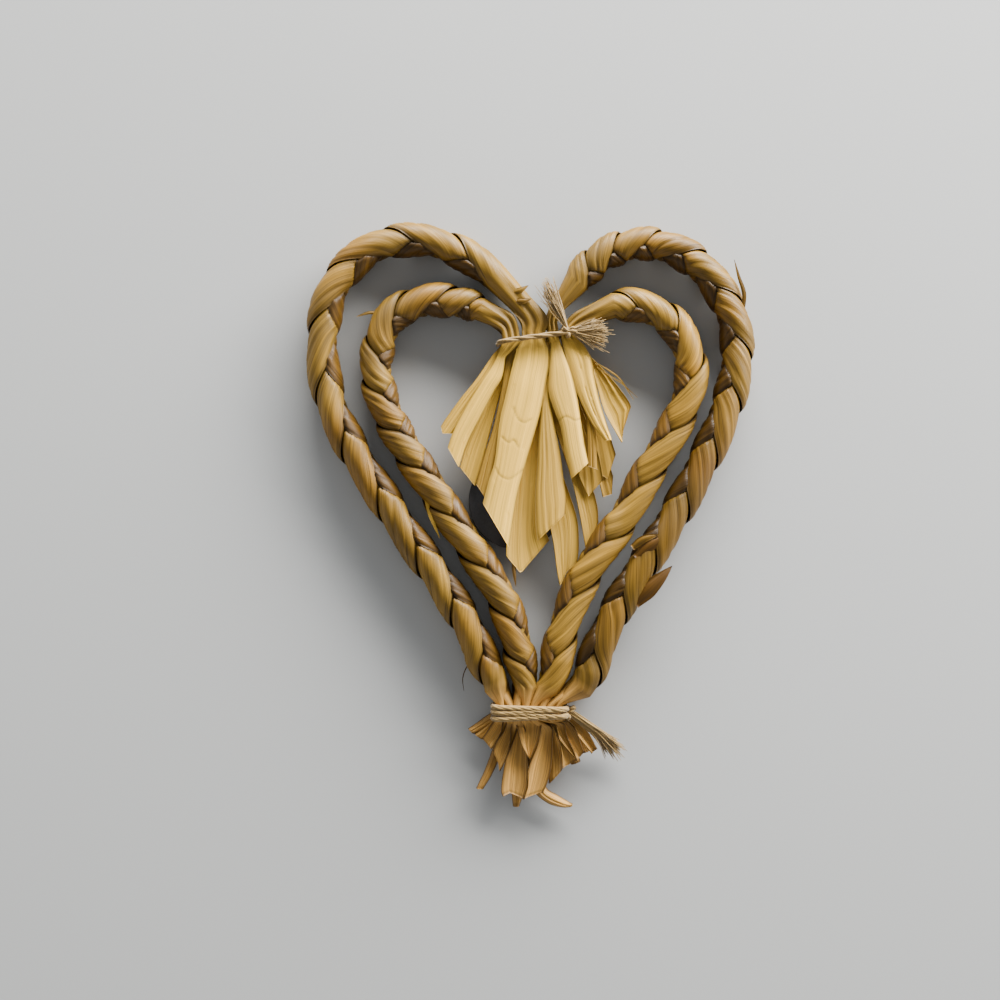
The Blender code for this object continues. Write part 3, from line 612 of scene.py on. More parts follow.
def woven_grid(plait, route, number, dice):
    """Middle surface of one straw on the round of its plait, with its height share."""
    family = 1 if number < 2 else -1
    mate = number % 2
    sign = 1 - 2 * mate
    last_phase = math.pi * (len(plait.passes) - 1)
    count = int(ROWS_PER_PASS * (len(plait.passes) - 0.5))
    phase = np.linspace(-math.pi / 4, last_phase + math.pi / 4, count)
    passes = np.array(plait.passes)
    numbers = np.arange(len(passes))
    distance = np.interp(phase / math.pi, numbers, passes)
    distance += np.minimum(phase / math.pi, 0) * (passes[1] - passes[0])
    beyond = np.maximum(phase / math.pi - numbers[-1], 0)
    distance += beyond * (passes[-1] - passes[-2])
    half = FRONT_HALF if family > 0 else SIDE_HALF
    outer_side = -1 if plait.name.endswith("left") else 1
    outer = plait.name.startswith("outer")
    angle = plait.winding * family * phase + mate * math.pi
    turn = angle[:, None] + ACROSS[None, :] * half
    if family > 0:
        swing = EDGE_SWING * np.sin(2 * (phase + plait.winding * outer_side * SWING_AT))
        turn = turn + plait.winding * swing[:, None] * (0.25 + 0.75 * ACROSS[None, :] ** 2)
    spin = plait.winding * phase[:, None]
    hold = SIDE_HOLD * smoothstep(-0.5, -0.3, outer_side * np.sin(turn))
    if family > 0:
        over = sign * np.cos(turn + spin) + (OUTER_TIP if outer else INNER_TIP) + hold
    else:
        over = -sign * np.cos(turn - spin) - UNDER_SHIFT - hold
    height = (np.tanh(WEAVE_SHARPNESS * over) + 1) / 2
    puff = 1 - np.abs(ACROSS) ** PUFF_POWER
    level = lerp(UNDER_LEVEL + UNDER_PUFF * puff, TOP_LEVEL + TOP_PUFF * puff, height)
    level = level - SHINGLE * ACROSS * outer_side * family
    level = level + creases(dice, count, height)
    opened = np.clip(distance / TAPER_LENGTH_LOW, 0, 1) ** 0.8
    closing = np.clip((route.length - distance) / TAPER_LENGTH_HIGH, 0, 1)
    high = lerp(TAPER_SHARE_HIGH, 1.0, closing)
    wide = np.minimum(lerp(LOW_WIDE, 1.0, opened), high)[:, None]
    tall = np.minimum(lerp(LOW_TALL, 1.0, opened), high)[:, None]
    bulge = LOW_BULGE * np.exp(-((distance - 1.0) / 2.6) ** 2) * outer
    middle = route.at(distance)[:, None, :]
    heading = route.heading(distance)
    side = unit(np.cross(heading, [0, 0, 1]))
    top = np.cross(side, heading)
    roll = outer_side * (OUTER_ROLL if outer else INNER_ROLL)
    shown = shown_angle(turn) + roll * (1 + np.cos(turn)) / 2
    sideways = np.sin(shown) * wide
    sideways = sideways + outer_side * bulge[:, None] * np.clip(outer_side * np.sin(shown), 0, 1)
    out = (top[:, None, :] * (np.cos(shown) * tall)[..., None]
           + side[:, None, :] * sideways[..., None])
    grid = middle + out * level[..., None]
    return grid, height, turn, phase


def creases(dice, count, height):
    """Lengthwise folds of a flattened straw, which wander a little along it."""
    depth = np.zeros((count, COLUMNS))
    for start, size in CREASES:
        line = start + 0.16 * wander(dice, count, count / 30)
        fold = np.abs(ACROSS[None, :] - line[:, None])
        strength = 0.6 + 0.5 * wander(dice, count, count / 12)
        depth -= size * np.exp(-fold / CREASE_FADE) * strength[:, None]
    depth += 0.05 * wander(dice, count, count / 9)[:, None]
    return depth * (0.35 + 0.65 * height)


def folds(dice, count, number):
    """Lengthwise folds of a loose blade, deeper on one side."""
    depth = np.zeros((count, COLUMNS))
    for start in np.linspace(-0.62, 0.62, number) + dice.normal(0, 0.12, number):
        line = start + 0.06 * wander(dice, count, 3)
        apart = ACROSS[None, :] - line[:, None]
        size = dice.uniform(0.06, 0.2)
        depth -= size * np.exp(-np.abs(apart) / FOLD_FADE)
        depth += size * 0.5 * np.exp(-np.maximum(apart, 0) / 0.3) * (apart > 0)
    return depth


def crack_marks(blade, flat):
    """How near each point is to a crack of the blade, 1 on it and 0 away from it."""
    marks = np.zeros(flat.shape[:2])
    for crack in blade.cracks:
        line = resample(crack, 40)
        apart = np.linalg.norm(flat[:, :, None, :] - line[None, None], axis=-1).min(-1)
        marks = np.maximum(marks, np.exp(-(apart / CRACK_HALF) ** 2))
    return marks


def blade_grid(blade, dice, level, outward, layer_z, count):
    """Middle surface of a loose straw end, from just past its tie to its cut."""
    left, right = resample(blade.left, count), resample(blade.right, count)
    share = (ACROSS + 1) / 2
    if outward > 0:
        share = 1 - share
    along = np.linspace(0, 1, count)
    if count == TASSEL_ROWS:
        swell = lerp(0.22, 0.0, along)[:, None] * (right - left)
        left, right = left - swell, right + swell
    flat = left[:, None, :] * (1 - share)[None, :, None] + right[:, None, :] * share[None, :, None]
    if blade.tip:
        place, x, y = blade.tip
        cut = np.stack([np.interp(share, [0, place, 1], [left[-1][axis], (x, y)[axis],
                                                         right[-1][axis]])
                        for axis in range(2)], -1)
        bend = smoothstep(0.7, 1.0, along)[:, None, None]
        flat = flat + bend * (cut - flat[-1])[None]
    z = lerp(layer_z, level + blade.lift, smoothstep(0, 0.45, along))[:, None]
    rolled = 1 - np.abs(ACROSS) ** 3.5
    arch = 2.2 * blade.arch if count == TASSEL_ROWS else blade.arch
    z = z + outward * arch * rolled[None, :] * smoothstep(0, 0.3, along)[:, None]
    number = 2 if blade.tone > 0.85 else 4
    z = z + outward * folds(dice, count, number) * smoothstep(0.05, 0.3, along)[:, None]
    z = z - CRACK_DEPTH * crack_marks(blade, flat)
    return np.concatenate([flat, z[..., None]], -1)


def tie_row_high(plait, outward, rise, y):
    x = upper_columns()[0][plait.name]
    across = -outward * ACROSS * plait.column_half
    z = UPPER_TIE_Z + rise + outward * 0.12 * (1 - ACROSS ** 2)
    return np.stack([x + across, np.full(COLUMNS, y), z], -1)


def tie_row_low(x, z, outward, y, half):
    """A straw squeezed into a narrow arch in the lower tie."""
    turn = ACROSS * math.radians(100)
    across = outward * half * np.sin(turn)
    rise = outward * (1.1 * np.cos(turn) - 0.35)
    return np.stack([x + across, np.full(COLUMNS, y), z + rise], -1)


def straw_grid(plait, route, number, dice):
    """The whole straw as one grid, with the row counts, heights, phases, blades and pleats that
    its colours are worked out from.
    """
    family = 1 if number < 2 else -1
    woven, height, turn, phase = woven_grid(plait, route, number, dice)
    low_angle = turn[0, COLUMNS // 2]
    right = math.sin(low_angle) > 0
    front = math.cos(low_angle) > 0
    outward = 1 if front else -1
    blade = plait.tassel[(0 if front else 2) + (1 if right else 0)]
    x = lower_bundle_x(plait.place) + LOWER_STRAW_PITCH / 2 * (1 if right else -1)
    z = PLAIT_AXIS_Z + LOWER_ROW_LIFT * outward
    above = tie_row_low(x, z, outward, LOWER_TIE_Y + ROW_ABOVE, HALF_ABOVE)
    below = tie_row_low(x, z, outward, LOWER_TIE_Y - ROW_BELOW, HALF_BELOW)
    # A tassel end runs downwards, so that its left and right are swapped on the grid
    loose = blade_grid(blade, dice, z + (-0.3 if front else -0.7), -outward, z, TASSEL_ROWS)
    loose = loose[::-1]
    tassel = between([loose[-TASSEL_START], below, above, woven[WOVEN_START]], LOWER_STEPS)[1:]
    lower = np.concatenate([loose[:-TASSEL_START], tassel[:-1]])

    end_angle = turn[-1, COLUMNS // 2]
    front = math.cos(end_angle) > 0
    outward = 1 if front else -1
    layer = {(1, True): 0, (-1, True): 1, (-1, False): 2, (1, False): 3}[(family, front)]
    rise = (1.5 - layer) * UPPER_ROW_PITCH
    column_x = upper_columns()[0][plait.name]
    tie_y = upper_tie_y(column_x)
    high = tie_row_high(plait, outward, rise, tie_y + UPPER_TIE_HALF * 0.6)
    low = tie_row_high(plait, outward, rise, tie_y - UPPER_TIE_HALF * 0.6)
    gather_at = route.length - GATHER_LENGTH
    heading = route.heading(gather_at)
    lateral = unit(np.cross(heading, [0, 0, 1]))
    gather = (route.at(gather_at) + lateral * outward * (ACROSS * 1.2 * plait.column_half)[:, None]
              + np.stack([0 * ACROSS, 0 * ACROSS,
                          rise * 1.15 + outward * 0.2 * (1 - ACROSS ** 2)], -1))
    fan_blade = plait.fan[layer]
    level = FAN_FLOOR_Z + (3 - layer) * FAN_LAYER_PITCH
    fan = blade_grid(fan_blade, dice, level, outward, UPPER_TIE_Z + rise, FAN_ROWS)
    upper = between([woven[WOVEN_END - 1], gather, high, low, fan[FAN_START]],
                    UPPER_STEPS)[1:-1]
    pleats = np.cos(ACROSS * 8.5 + dice.uniform(0, 6))
    bunched = np.sin(np.linspace(0, math.pi, len(upper))) ** 0.7
    upper[..., 2] += outward * PLEAT_DEPTH * pleats[None, :] * bunched[:, None]
    kept = slice(WOVEN_START, WOVEN_END)
    grid = np.concatenate([lower, woven[kept], upper, fan[FAN_START:]])
    return grid, dict(lower=len(lower), upper=len(upper), height=height[kept],
                      phase=phase[kept], tassel_blade=blade, fan_blade=fan_blade,
                      family=family, pleats=pleats, bunched=bunched)


# Colours in linear light
GOLD = np.array([0.27, 0.152, 0.02])
PALE = np.array([0.94, 0.56, 0.072])
# BROWN is a darker straw colour, used also as painted shade on the under straws and on low blades
BROWN = np.array([0.085, 0.038, 0.004])
TAIL = np.array([0.92, 0.5, 0.12])
ORANGE = np.array([0.30, 0.125, 0.007])


# Painted shade and light along each plait, as its lightness at its tassel end and at its fan end,
# such as the shaded lower half of the outer right plait
PLAIT_PAINTED_SHADE = {"outer_left": (0.8, 0.96), "inner_left": (0.96, 0.82), "inner_right": (1.04, 1.08),
          "outer_right": (0.5, 0.82)}


def straw_colours(plait, parts, grid, dice):
    """Colour of each point of a straw, with painted shade in its crevices, hollows, edges, pleats
    and cut ends, and the strength of its streaks as alpha.
    """
    rows = len(grid)
    tone = np.zeros((rows, COLUMNS, 3))
    passes = len(plait.passes)
    lightness = dice.uniform(0.72, 1.14, 2 * passes + 6)
    warmth = np.clip(dice.normal(0.12, 0.22, 2 * passes + 6), 0, 0.8)
    place = parts["phase"] / math.pi * 2 + 2
    steps = np.arange(2 * passes + 6)
    light = np.interp(place, steps, lightness)[:, None, None]
    warm = np.interp(place, steps, warmth)[:, None, None]
    base = GOLD * (1 - warm) + ORANGE * warm
    # The under straws are dark brown in the plait: partly their own colour, partly painted shade
    # where they lie in its hollows
    if parts["family"] > 0:
        woven = base * light
    else:
        woven = lerp(BROWN, GOLD, 0.12) * light
    high = parts["height"]
    # Painted shade: darker where a pass dives under the other straws, and darkest along the
    # crevices between passes
    woven = woven * ((0.42 + 0.58 * high) * (1 - 1.6 * high * (1 - high)))[..., None]
    # Painted shade and light along the plait, from its tassel end to its fan end
    woven = woven * lerp(*PLAIT_PAINTED_SHADE[plait.name], np.linspace(0, 1, len(woven)))[:, None, None]
    low = parts["lower"]
    mid = low + len(woven)
    tone[low:mid] = woven
    # The tones of the tassel and fan blades are partly their own colour and partly painted shade
    tail = lerp(BROWN * 2.4, TAIL, parts["tassel_blade"].tone)
    share = np.linspace(0, 1, low)[:, None, None]
    # Painted shade on the rolled edges of each tassel end, which also gets darker towards the tie
    tone[:low] = tail * (1 - 0.3 * share) * (1 - 0.65 * np.abs(ACROSS) ** 2.5)[None, :, None]
    fan = lerp(BROWN * 1.6, PALE, parts["fan_blade"].tone ** 1.6)
    share = smoothstep(0.08, 0.35, np.linspace(0, 1, rows - mid))[:, None, None]
    tone[mid:] = lerp(GOLD * 0.9, fan, share)
    # Painted shade in the hollows of the pleats next to the upper tie
    dark = 1 - 0.4 * parts["bunched"][:, None] * (0.5 - 0.5 * parts["pleats"])[None, :]
    tone[mid:mid + parts["upper"]] *= dark[..., None]
    blur = np.ones(7) / 7
    for channel in range(3):
        for column in range(COLUMNS):
            line = np.pad(tone[:, column, channel], 3, mode="edge")
            tone[:, column, channel] = np.convolve(line, blur, "valid")
    # Painted shade along both edges of every straw, where it meets or tucks under its neighbours
    tone *= (1 - 0.5 * smoothstep(0.78, 1.0, np.abs(ACROSS)))[None, :, None]
    marks = crack_marks(parts["fan_blade"], grid[mid:, :, :2])
    tone[mid:] *= (1 - 0.4 * marks)[..., None]
    # Painted shade at both cut ends of the straw
    tone[-2:] *= 0.75
    tone[:2] *= 0.6
    silk = np.ones((rows, COLUMNS, 1))
    silk[mid:] = 0.6
    return np.concatenate([np.clip(tone, 0, 1), silk], -1)


def sheet_parts(grid, tones):
    """Points, faces, lengths and colours of a closed thin sheet about a grid of points."""
    rows, columns = grid.shape[:2]
    normal = unit(np.cross(np.gradient(grid, axis=1), np.gradient(grid, axis=0)))
    points = np.concatenate([(grid + normal * side * SHEET / 2).reshape(-1, 3)
                             for side in (1, -1)])
    ids = np.arange(rows * columns).reshape(rows, columns)
    a, b, c, d = ids[:-1, :-1], ids[:-1, 1:], ids[1:, 1:], ids[1:, :-1]
    outer_faces = np.stack([a, b, c, d], -1).reshape(-1, 4)
    lower = rows * columns
    inner_faces = outer_faces[:, ::-1] + lower
    rim = np.concatenate([ids[0, ::-1], ids[1:, 0], ids[-1, 1:], ids[-2:0:-1, -1]])
    following = np.roll(rim, -1)
    rim_faces = np.stack([following, rim, rim + lower, following + lower], -1)
    faces = np.concatenate([outer_faces, inner_faces, rim_faces])
    along = lengths_along(grid[:, columns // 2])
    half = STREAK_HALF if columns == COLUMNS else STREAK_HALF / 4
    width = np.broadcast_to(np.linspace(-half, half, columns), (rows, columns))
    flat = np.stack([width, np.broadcast_to(along[:, None], (rows, columns))], -1)
    return (points, faces, np.tile(flat.reshape(-1, 2), (2, 1)),
            np.tile(tones.reshape(-1, 4), (2, 1)))


def linked(name, data):
    obj = bpy.data.objects.new(name, data)
    bpy.context.scene.collection.objects.link(obj)
    return obj


def shown(name, mesh, made_of):
    mesh.materials.append(made_of)
    mesh.shade_smooth()
    return linked(name, mesh)


def sheet_mesh(name, sheets, made_of):
    points, faces, flat, paint, shift = [], [], [], [], 0
    for grid, tones in sheets:
        made = sheet_parts(grid, tones)
        points.append(made[0] * MM)
        faces.append(made[1] + shift)
        flat.append(made[2])
        paint.append(made[3])
        shift += len(made[0])
    points, faces = np.concatenate(points), np.concatenate(faces)
    mesh = bpy.data.meshes.new(name)
    mesh.vertices.add(len(points))
    mesh.vertices.foreach_set("co", points.ravel())
    mesh.loops.add(faces.size)
    mesh.loops.foreach_set("vertex_index", faces.ravel())
    mesh.polygons.add(len(faces))
    mesh.polygons.foreach_set("loop_start", np.arange(0, faces.size, 4))
    mesh.update(calc_edges=True)
    layer = mesh.uv_layers.new(name="lengths")
    layer.data.foreach_set("uv", np.concatenate(flat)[faces.ravel()].ravel())
    tint = mesh.attributes.new("tint", "FLOAT_COLOR", "POINT")
    tint.data.foreach_set("color", np.concatenate(paint).ravel())
    return shown(name, mesh, made_of)


def sliver_sheet(middle_line, half_width, shade):
    """Grid and colours of a sliver, which ends in a point."""
    rows, columns = 16, 5
    line = resample(middle_line, rows, HAIR_STEP)
    side = unit(np.cross(unit(np.gradient(line, axis=0)), [0, 0, 1]))
    share = np.linspace(0, 1, rows)
    half = half_width * (1 - share ** 2.2) * (0.6 + 0.4 * smoothstep(0, 0.4, share)) + 0.03
    across = np.linspace(-1, 1, columns)[None, :] * half[:, None]
    grid = line[:, None, :] + side[:, None, :] * across[..., None]
    grid[..., 2] -= 0.5 * across ** 2 / max(half_width, 0.2)
    tone = lerp(BROWN, PALE * 0.8, shade)
    tones = np.broadcast_to(np.append(tone, 0.8), (rows, columns, 4))
    return grid, tones


# Materials


def set_inputs(target, values):
    for name, value in values.items():
        target.inputs[name].default_value = value


def node(tree, kind, inputs=None, **settings):
    """A new node with its settings, and values for the inputs that have no link."""
    made = tree.nodes.new(kind)
    for key, value in settings.items():
        setattr(made, key, value)
    set_inputs(made, inputs or {})
    return made


def new_material(name):
    made = bpy.data.materials.new(name)
    made.use_nodes = True
    return made, made.node_tree, made.node_tree.nodes["Principled BSDF"]


def straw_material():
    made, tree, shader = new_material("straw")
    links = tree.links
    tint = node(tree, "ShaderNodeAttribute", attribute_name="tint")
    lengths = node(tree, "ShaderNodeUVMap", uv_map="lengths")

    def streaks(across, along, detail):
        scale = node(tree, "ShaderNodeMapping", {"Scale": (across, along, 1)})
        links.new(lengths.outputs["UV"], scale.inputs["Vector"])
        noise = node(tree, "ShaderNodeTexNoise", {"Scale": 1.0, "Detail": detail})
        links.new(scale.outputs["Vector"], noise.inputs["Vector"])
        return noise.outputs["Fac"]

    def ramp(value, low, high, dark, light):
        made = node(tree, "ShaderNodeMapRange", {"From Min": low, "From Max": high,
                                                 "To Min": dark, "To Max": light})
        links.new(value, made.inputs["Value"])
        return made.outputs["Result"]

    def times(first, second):
        made = node(tree, "ShaderNodeVectorMath", operation="SCALE")
        links.new(first, made.inputs[0])
        links.new(second, made.inputs["Scale"])
        return made.outputs["Vector"]

    def product(first, second):
        made = node(tree, "ShaderNodeMath", operation="MULTIPLY")
        links.new(first, made.inputs[0])
        links.new(second, made.inputs[1])
        return made.outputs["Value"]

    fine = streaks(8.5, 0.05, 3)
    middle = streaks(1.35, 0.03, 4)
    broad = streaks(0.5, 0.05, 2)
    lines = streaks(3.6, 0.045, 2)
    shade = product(ramp(fine, 0.32, 0.68, 0.7, 1.2), ramp(middle, 0.33, 0.67, 0.74, 1.2))
    shade = product(shade, ramp(broad, 0.35, 0.65, 0.84, 1.14))
    shade = product(shade, ramp(lines, 0.58, 0.68, 1.0, 0.45))
    gentle = node(tree, "ShaderNodeMix", {"A": 1.0}, data_type="FLOAT")
    links.new(shade, gentle.inputs["B"])
    links.new(tint.outputs["Alpha"], gentle.inputs["Factor"])
    links.new(times(tint.outputs["Color"], gentle.outputs["Result"]), shader.inputs["Base Color"])
    links.new(ramp(middle, 0.35, 0.65, 0.56, 0.4), shader.inputs["Roughness"])
    set_inputs(shader, {"Specular IOR Level": 0.25, "Anisotropic": 0.5})
    bump = node(tree, "ShaderNodeBump", {"Strength": 0.45, "Distance": 0.00025})
    links.new(product(middle, ramp(fine, 0.3, 0.7, 0.8, 1.1)), bump.inputs["Height"])
    links.new(bump.outputs["Normal"], shader.inputs["Normal"])
    return made


def grainy_material(name, grain, dark, light, bump_values, shader_values):
    """A material whose colour and bump follow one fine noise."""
    made, tree, shader = new_material(name)
    links = tree.links
    place = node(tree, "ShaderNodeTexCoord")
    noise = node(tree, "ShaderNodeTexNoise", grain)
    links.new(place.outputs["Object"], noise.inputs["Vector"])
    mix = node(tree, "ShaderNodeMix", {"A": dark, "B": light}, data_type="RGBA")
    links.new(noise.outputs["Fac"], mix.inputs["Factor"])
    links.new(mix.outputs["Result"], shader.inputs["Base Color"])
    set_inputs(shader, shader_values)
    bump = node(tree, "ShaderNodeBump", bump_values)
    links.new(noise.outputs["Fac"], bump.inputs["Height"])
    links.new(bump.outputs["Normal"], shader.inputs["Normal"])
    return made


def twine_material():
    return grainy_material("twine", {"Scale": 1800, "Detail": 4}, (0.15, 0.085, 0.018, 1),
                           (0.36, 0.225, 0.06, 1), {"Strength": 0.6, "Distance": 0.00012},
                           {"Roughness": 0.85, "Sheen Weight": 0.3})


def ferrite_material():
    return grainy_material("magnet_ferrite", {"Scale": 2500, "Detail": 3},
                           (0.012, 0.012, 0.013, 1), (0.04, 0.04, 0.043, 1),
                           {"Strength": 0.3, "Distance": 0.00005}, {"Roughness": 0.55})


def floor_material():
    made, _, shader = new_material("pale_floor")
    set_inputs(shader, {"Base Color": FLOOR_COLOUR, "Roughness": 0.8})
    return made


# Twine


def headings(points, closed):
    if closed:
        return unit(np.roll(points, -1, 0) - np.roll(points, 1, 0))
    return unit(np.gradient(points, axis=0))


def carried(guide, heading):
    """The guide direction carried along a line without twist, square to its heading."""
    frame = np.zeros_like(heading)
    for index, way in enumerate(heading):
        guide = guide - way * guide.dot(way)
        guide /= np.linalg.norm(guide)
        frame[index] = guide
    return frame


def ring_faces(low, high):
    """Faces between rings of point numbers and the rings that follow them."""
    quads = np.stack([low, np.roll(low, -1, 1), np.roll(high, -1, 1), high], -1)
    return quads.reshape(-1, 4).tolist()


def tube(points, radii, sides, closed=False):
    """Points and faces of a round cord along the points."""
    points = np.array(points, float)
    size = len(points)
    heading = headings(points, closed)
    guide = (0.0, 0.0, 1.0) if abs(heading[0][2]) < 0.9 else (0.0, 1.0, 0.0)
    frame = carried(np.array(guide), heading)
    side = np.cross(heading, frame)
    turn = 2 * math.pi * np.arange(sides) / sides
    radii = np.broadcast_to(np.asarray(radii, float), (size,))
    ring = (frame[:, None] * np.cos(turn)[None, :, None]
            + side[:, None] * np.sin(turn)[None, :, None]) * radii[:, None, None]
    verts = (points[:, None] + ring).reshape(-1, 3)
    ids = np.arange(size * sides).reshape(size, sides)
    last = size if closed else size - 1
    faces = ring_faces(ids[np.arange(last)], ids[(np.arange(last) + 1) % size])
    if not closed:
        faces.append(ids[0][::-1].tolist())
        faces.append(ids[-1].tolist())
    return verts, faces


def joined_mesh(name, pieces, made_of):
    verts, faces, shift = [], [], 0
    for points, polygons in pieces:
        verts.append(points)
        faces += [[corner + shift for corner in face] for face in polygons]
        shift += len(points)
    mesh = bpy.data.meshes.new(name)
    mesh.from_pydata((np.concatenate(verts) * MM).tolist(), [], faces)
    return shown(name, mesh, made_of)


def plies(path, radius, pitch, count=2, sides=7, start=0.0):
    """Strands twisted about a closed path; radius is that of the whole cord."""
    path = np.array(path)
    heading = headings(path, True)
    along = lengths_along(path)
    length = along[-1] + np.linalg.norm(path[0] - path[-1])
    turns = max(1, round(length / pitch))
    frame = carried(np.array([0.31, 0.94, 0.13]), heading)
    side = np.cross(heading, frame)
    made = []
    for strand in range(count):
        turn = 2 * math.pi * (turns * along / length + strand / count) + start
        offset = frame * np.cos(turn)[:, None] + side * np.sin(turn)[:, None]
        made.append(tube(path + offset * (radius * 0.5), radius * 0.56, sides, True))
    return made


def rounded_box_path(left, right, low, high, offset, tie_y, count=160):
    corner = 0.6
    radius = corner + offset
    middles = [(right - corner, high - corner), (left + corner, high - corner),
               (left + corner, low + corner), (right - corner, low + corner)]
    points = []
    for quarter, (x, z) in enumerate(middles):
        for step in range(7):
            turn = math.pi / 2 * (quarter + step / 6)
            across = x + radius * math.cos(turn)
            points.append((across, tie_y(across), z + radius * math.sin(turn)))
    points = np.array(points)
    closed = np.concatenate([points, points[:1]])
    along = lengths_along(closed)
    return points_at(np.linspace(0, along[-1], count, endpoint=False), along, closed)


def knot_loop(middle, wide, tall, deep):
    """Closed path of a knot; wide and tall are each a plain and a doubled swing."""
    turn = np.linspace(0, 2 * math.pi, 60, endpoint=False)
    return middle + np.stack([wide[0] * np.sin(turn) + wide[1] * np.sin(2 * turn),
                              tall[0] * np.cos(turn) - tall[1] * np.cos(2 * turn),
                              -deep * np.sin(3 * turn)], -1)


def build_straws(routes, made_of):
    for plait in PLAITS:
        for number in range(4):
            name = f"{plait.name}_straw_{number + 1}"
            dice = np.random.default_rng(plait.place * 10 + number)
            grid, parts = straw_grid(plait, routes[plait.name], number, dice)
            colours = straw_colours(plait, parts, grid, dice)
            slivers = [sliver_sheet(*sliver) for sliver in SLIVERS.get(name, ())]
            piece = sheet_mesh("look_" + name, [(grid, colours), *slivers], made_of)
            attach(piece, "root")
            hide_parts(name)


def build_lower_tie(made_of):
    reach = 2 * LOWER_BUNDLE_PITCH - TOUCH_GAP / 2
    depth = LOWER_ROW_LIFT + 0.85
    clear = TOUCH_GAP + TWINE_RADIUS
    right = LOWER_TIE_X + reach
    pieces = []
    for number, (y, slant) in enumerate(LOWER_WRAPS):
        path = rounded_box_path(LOWER_TIE_X - reach, right, PLAIT_AXIS_Z - depth,
                                PLAIT_AXIS_Z + depth, clear - WRAP_SINK,
                                lambda x, level=LOWER_TIE_Y + y, tilt=slant:
                                level + tilt * (x - LOWER_TIE_X) + 0.08 * math.sin(0.7 * x))
        pieces += plies(path, start=number, **LOWER_CORD)
    knot = np.array([right + clear + 0.2, LOWER_TIE_Y + 0.1, PLAIT_AXIS_Z + 0.9])
    pieces += plies(knot_loop(knot, (0.75, 0.45), (0.8, 0.45), 0.5), 0.5, KNOT_PITCH)
    dice = np.random.default_rng(5)
    steps, width = np.array(TAIL_STEPS), np.array(TAIL_SPREAD)[:, None]
    for _ in range(TAIL_FIBRES):
        spread = dice.normal(0, 1, 3) * (1, 1, 0.35)
        line = knot + steps + spread * width + dice.normal(0, 0.07, (5, 3))
        line[-1] -= (line[-1] - line[-2]) * dice.uniform(0, 0.5)
        line[:, 2] = np.maximum(line[:, 2], TAIL_LOWEST)
        line = resample(line, 18, HAIR_STEP)
        pieces.append(tube(line, np.linspace(0.13, 0.06, 18), 4))
    piece = joined_mesh("look_lower_tie_twine", pieces, made_of)
    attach(piece, "root")
    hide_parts("lower_tie_twine")


def build_upper_tie(made_of):
    _, right = upper_columns()
    depth = 1.5 * UPPER_ROW_PITCH + 0.35
    clear = TOUCH_GAP + TWINE_RADIUS
    path = rounded_box_path(UPPER_LEFT_X, right, UPPER_TIE_Z - depth, UPPER_TIE_Z + depth,
                            clear - WRAP_SINK, upper_tie_y)
    pieces = plies(path, **UPPER_CORD)
    knot = np.array([right - 1.2, UPPER_TIE_Y + 0.1, UPPER_TIE_Z + depth + clear - 0.1])
    pieces += plies(knot_loop(knot, (0.65, 0.4), (0.6, 0.35), 0.3), 0.42, KNOT_PITCH)
    dice = np.random.default_rng(9)
    for count, reach, spread in FRAYED:
        for _ in range(count):
            away = dice.normal(0, 1, 3) * spread
            end = knot + np.array(reach) * dice.uniform(0.75, 1.05) + away
            bend = knot + np.array(reach) * 0.5 + away * 0.55 + dice.normal(0, 0.15, 3)
            line = resample([knot, bend, end], 10, HAIR_STEP)
            pieces.append(tube(line, np.linspace(0.09, 0.04, 10), 4))
    piece = joined_mesh("look_upper_tie_twine", pieces, made_of)
    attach(piece, "root")
    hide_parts("upper_tie_twine")


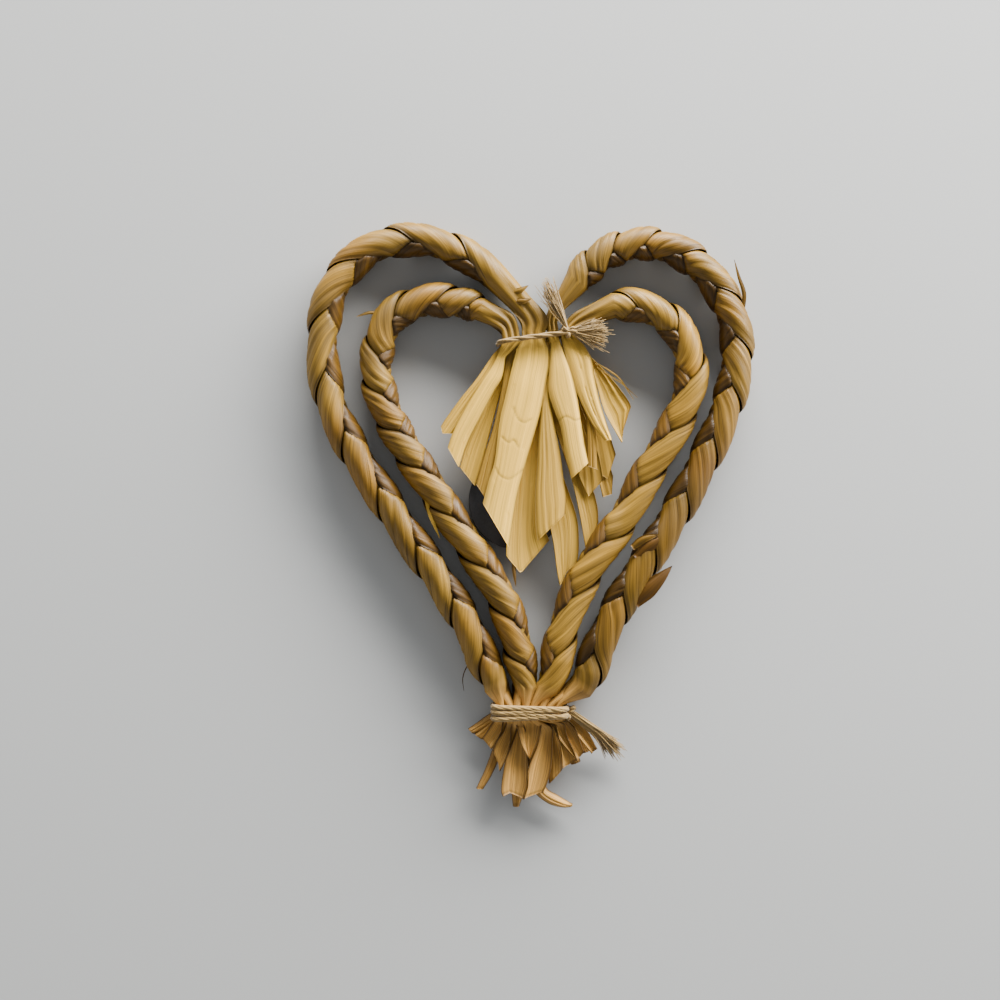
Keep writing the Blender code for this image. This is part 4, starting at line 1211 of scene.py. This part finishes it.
def build_magnet(made_of):
    turn = 2 * math.pi * np.arange(MAGNET_SIDES) / MAGNET_SIDES
    rings = [np.stack([r * np.cos(turn), r * np.sin(turn), np.full(MAGNET_SIDES, z)], -1)
             for r, z in MAGNET_RIM]
    ids = np.arange(len(rings) * MAGNET_SIDES).reshape(len(rings), MAGNET_SIDES)
    faces = ring_faces(ids[:-1], ids[1:])
    faces.append(ids[0][::-1].tolist())
    faces.append(ids[-1].tolist())
    piece = joined_mesh("look_magnet", [(np.concatenate(rings), faces)], made_of)
    piece.data.set_sharp_from_angle(angle=math.radians(35))
    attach(piece, "root")
    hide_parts("magnet")


def build_stage():
    bpy.ops.mesh.primitive_plane_add(size=FLOOR_SIZE)
    floor = bpy.context.object
    floor.name = "floor"
    floor.data.materials.append(floor_material())


def area_light(name, place, aim, size, power, colour):
    data = bpy.data.lights.new(name, "AREA")
    data.shape = "RECTANGLE"
    data.size, data.size_y = size
    data.energy = power
    data.color = colour
    lamp = linked(name, data)
    lamp.location = place
    lamp.rotation_euler = (Vector(aim) - Vector(place)).to_track_quat("-Z", "Y").to_euler()


def room_light():
    """Soft light from all round that is stronger from the sides than from overhead."""
    world = bpy.data.worlds.new("studio")
    world.use_nodes = True
    tree = world.node_tree
    way = node(tree, "ShaderNodeTexCoord")
    split = node(tree, "ShaderNodeSeparateXYZ")
    tree.links.new(way.outputs["Generated"], split.inputs["Vector"])
    fade = node(tree, "ShaderNodeMapRange",
                {"From Min": SIDE_RISE, "From Max": OVERHEAD_RISE,
                 "To Min": SIDE_LIGHT, "To Max": OVERHEAD_LIGHT},
                interpolation_type="SMOOTHSTEP")
    tree.links.new(split.outputs["Z"], fade.inputs["Value"])
    background = tree.nodes["Background"]
    set_inputs(background, {"Color": ROOM_COLOUR})
    tree.links.new(fade.outputs["Result"], background.inputs["Strength"])
    bpy.context.scene.world = world


def light_and_camera():
    area_light("window", WINDOW_AT, (0, 0, 0), WINDOW_SIZE, WINDOW_POWER, WINDOW_COLOUR)
    room_light()
    data = bpy.data.cameras.new("above")
    data.sensor_width = 36
    data.lens = LENS
    data.clip_start = 0.01
    camera = linked("above", data)
    camera.location = CAMERA_AT
    bpy.context.scene.camera = camera


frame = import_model()
routes = plait_routes()
build_straws(routes, straw_material())
twine = twine_material()
build_lower_tie(twine)
build_upper_tie(twine)
build_magnet(ferrite_material())
build_stage()
light_and_camera()
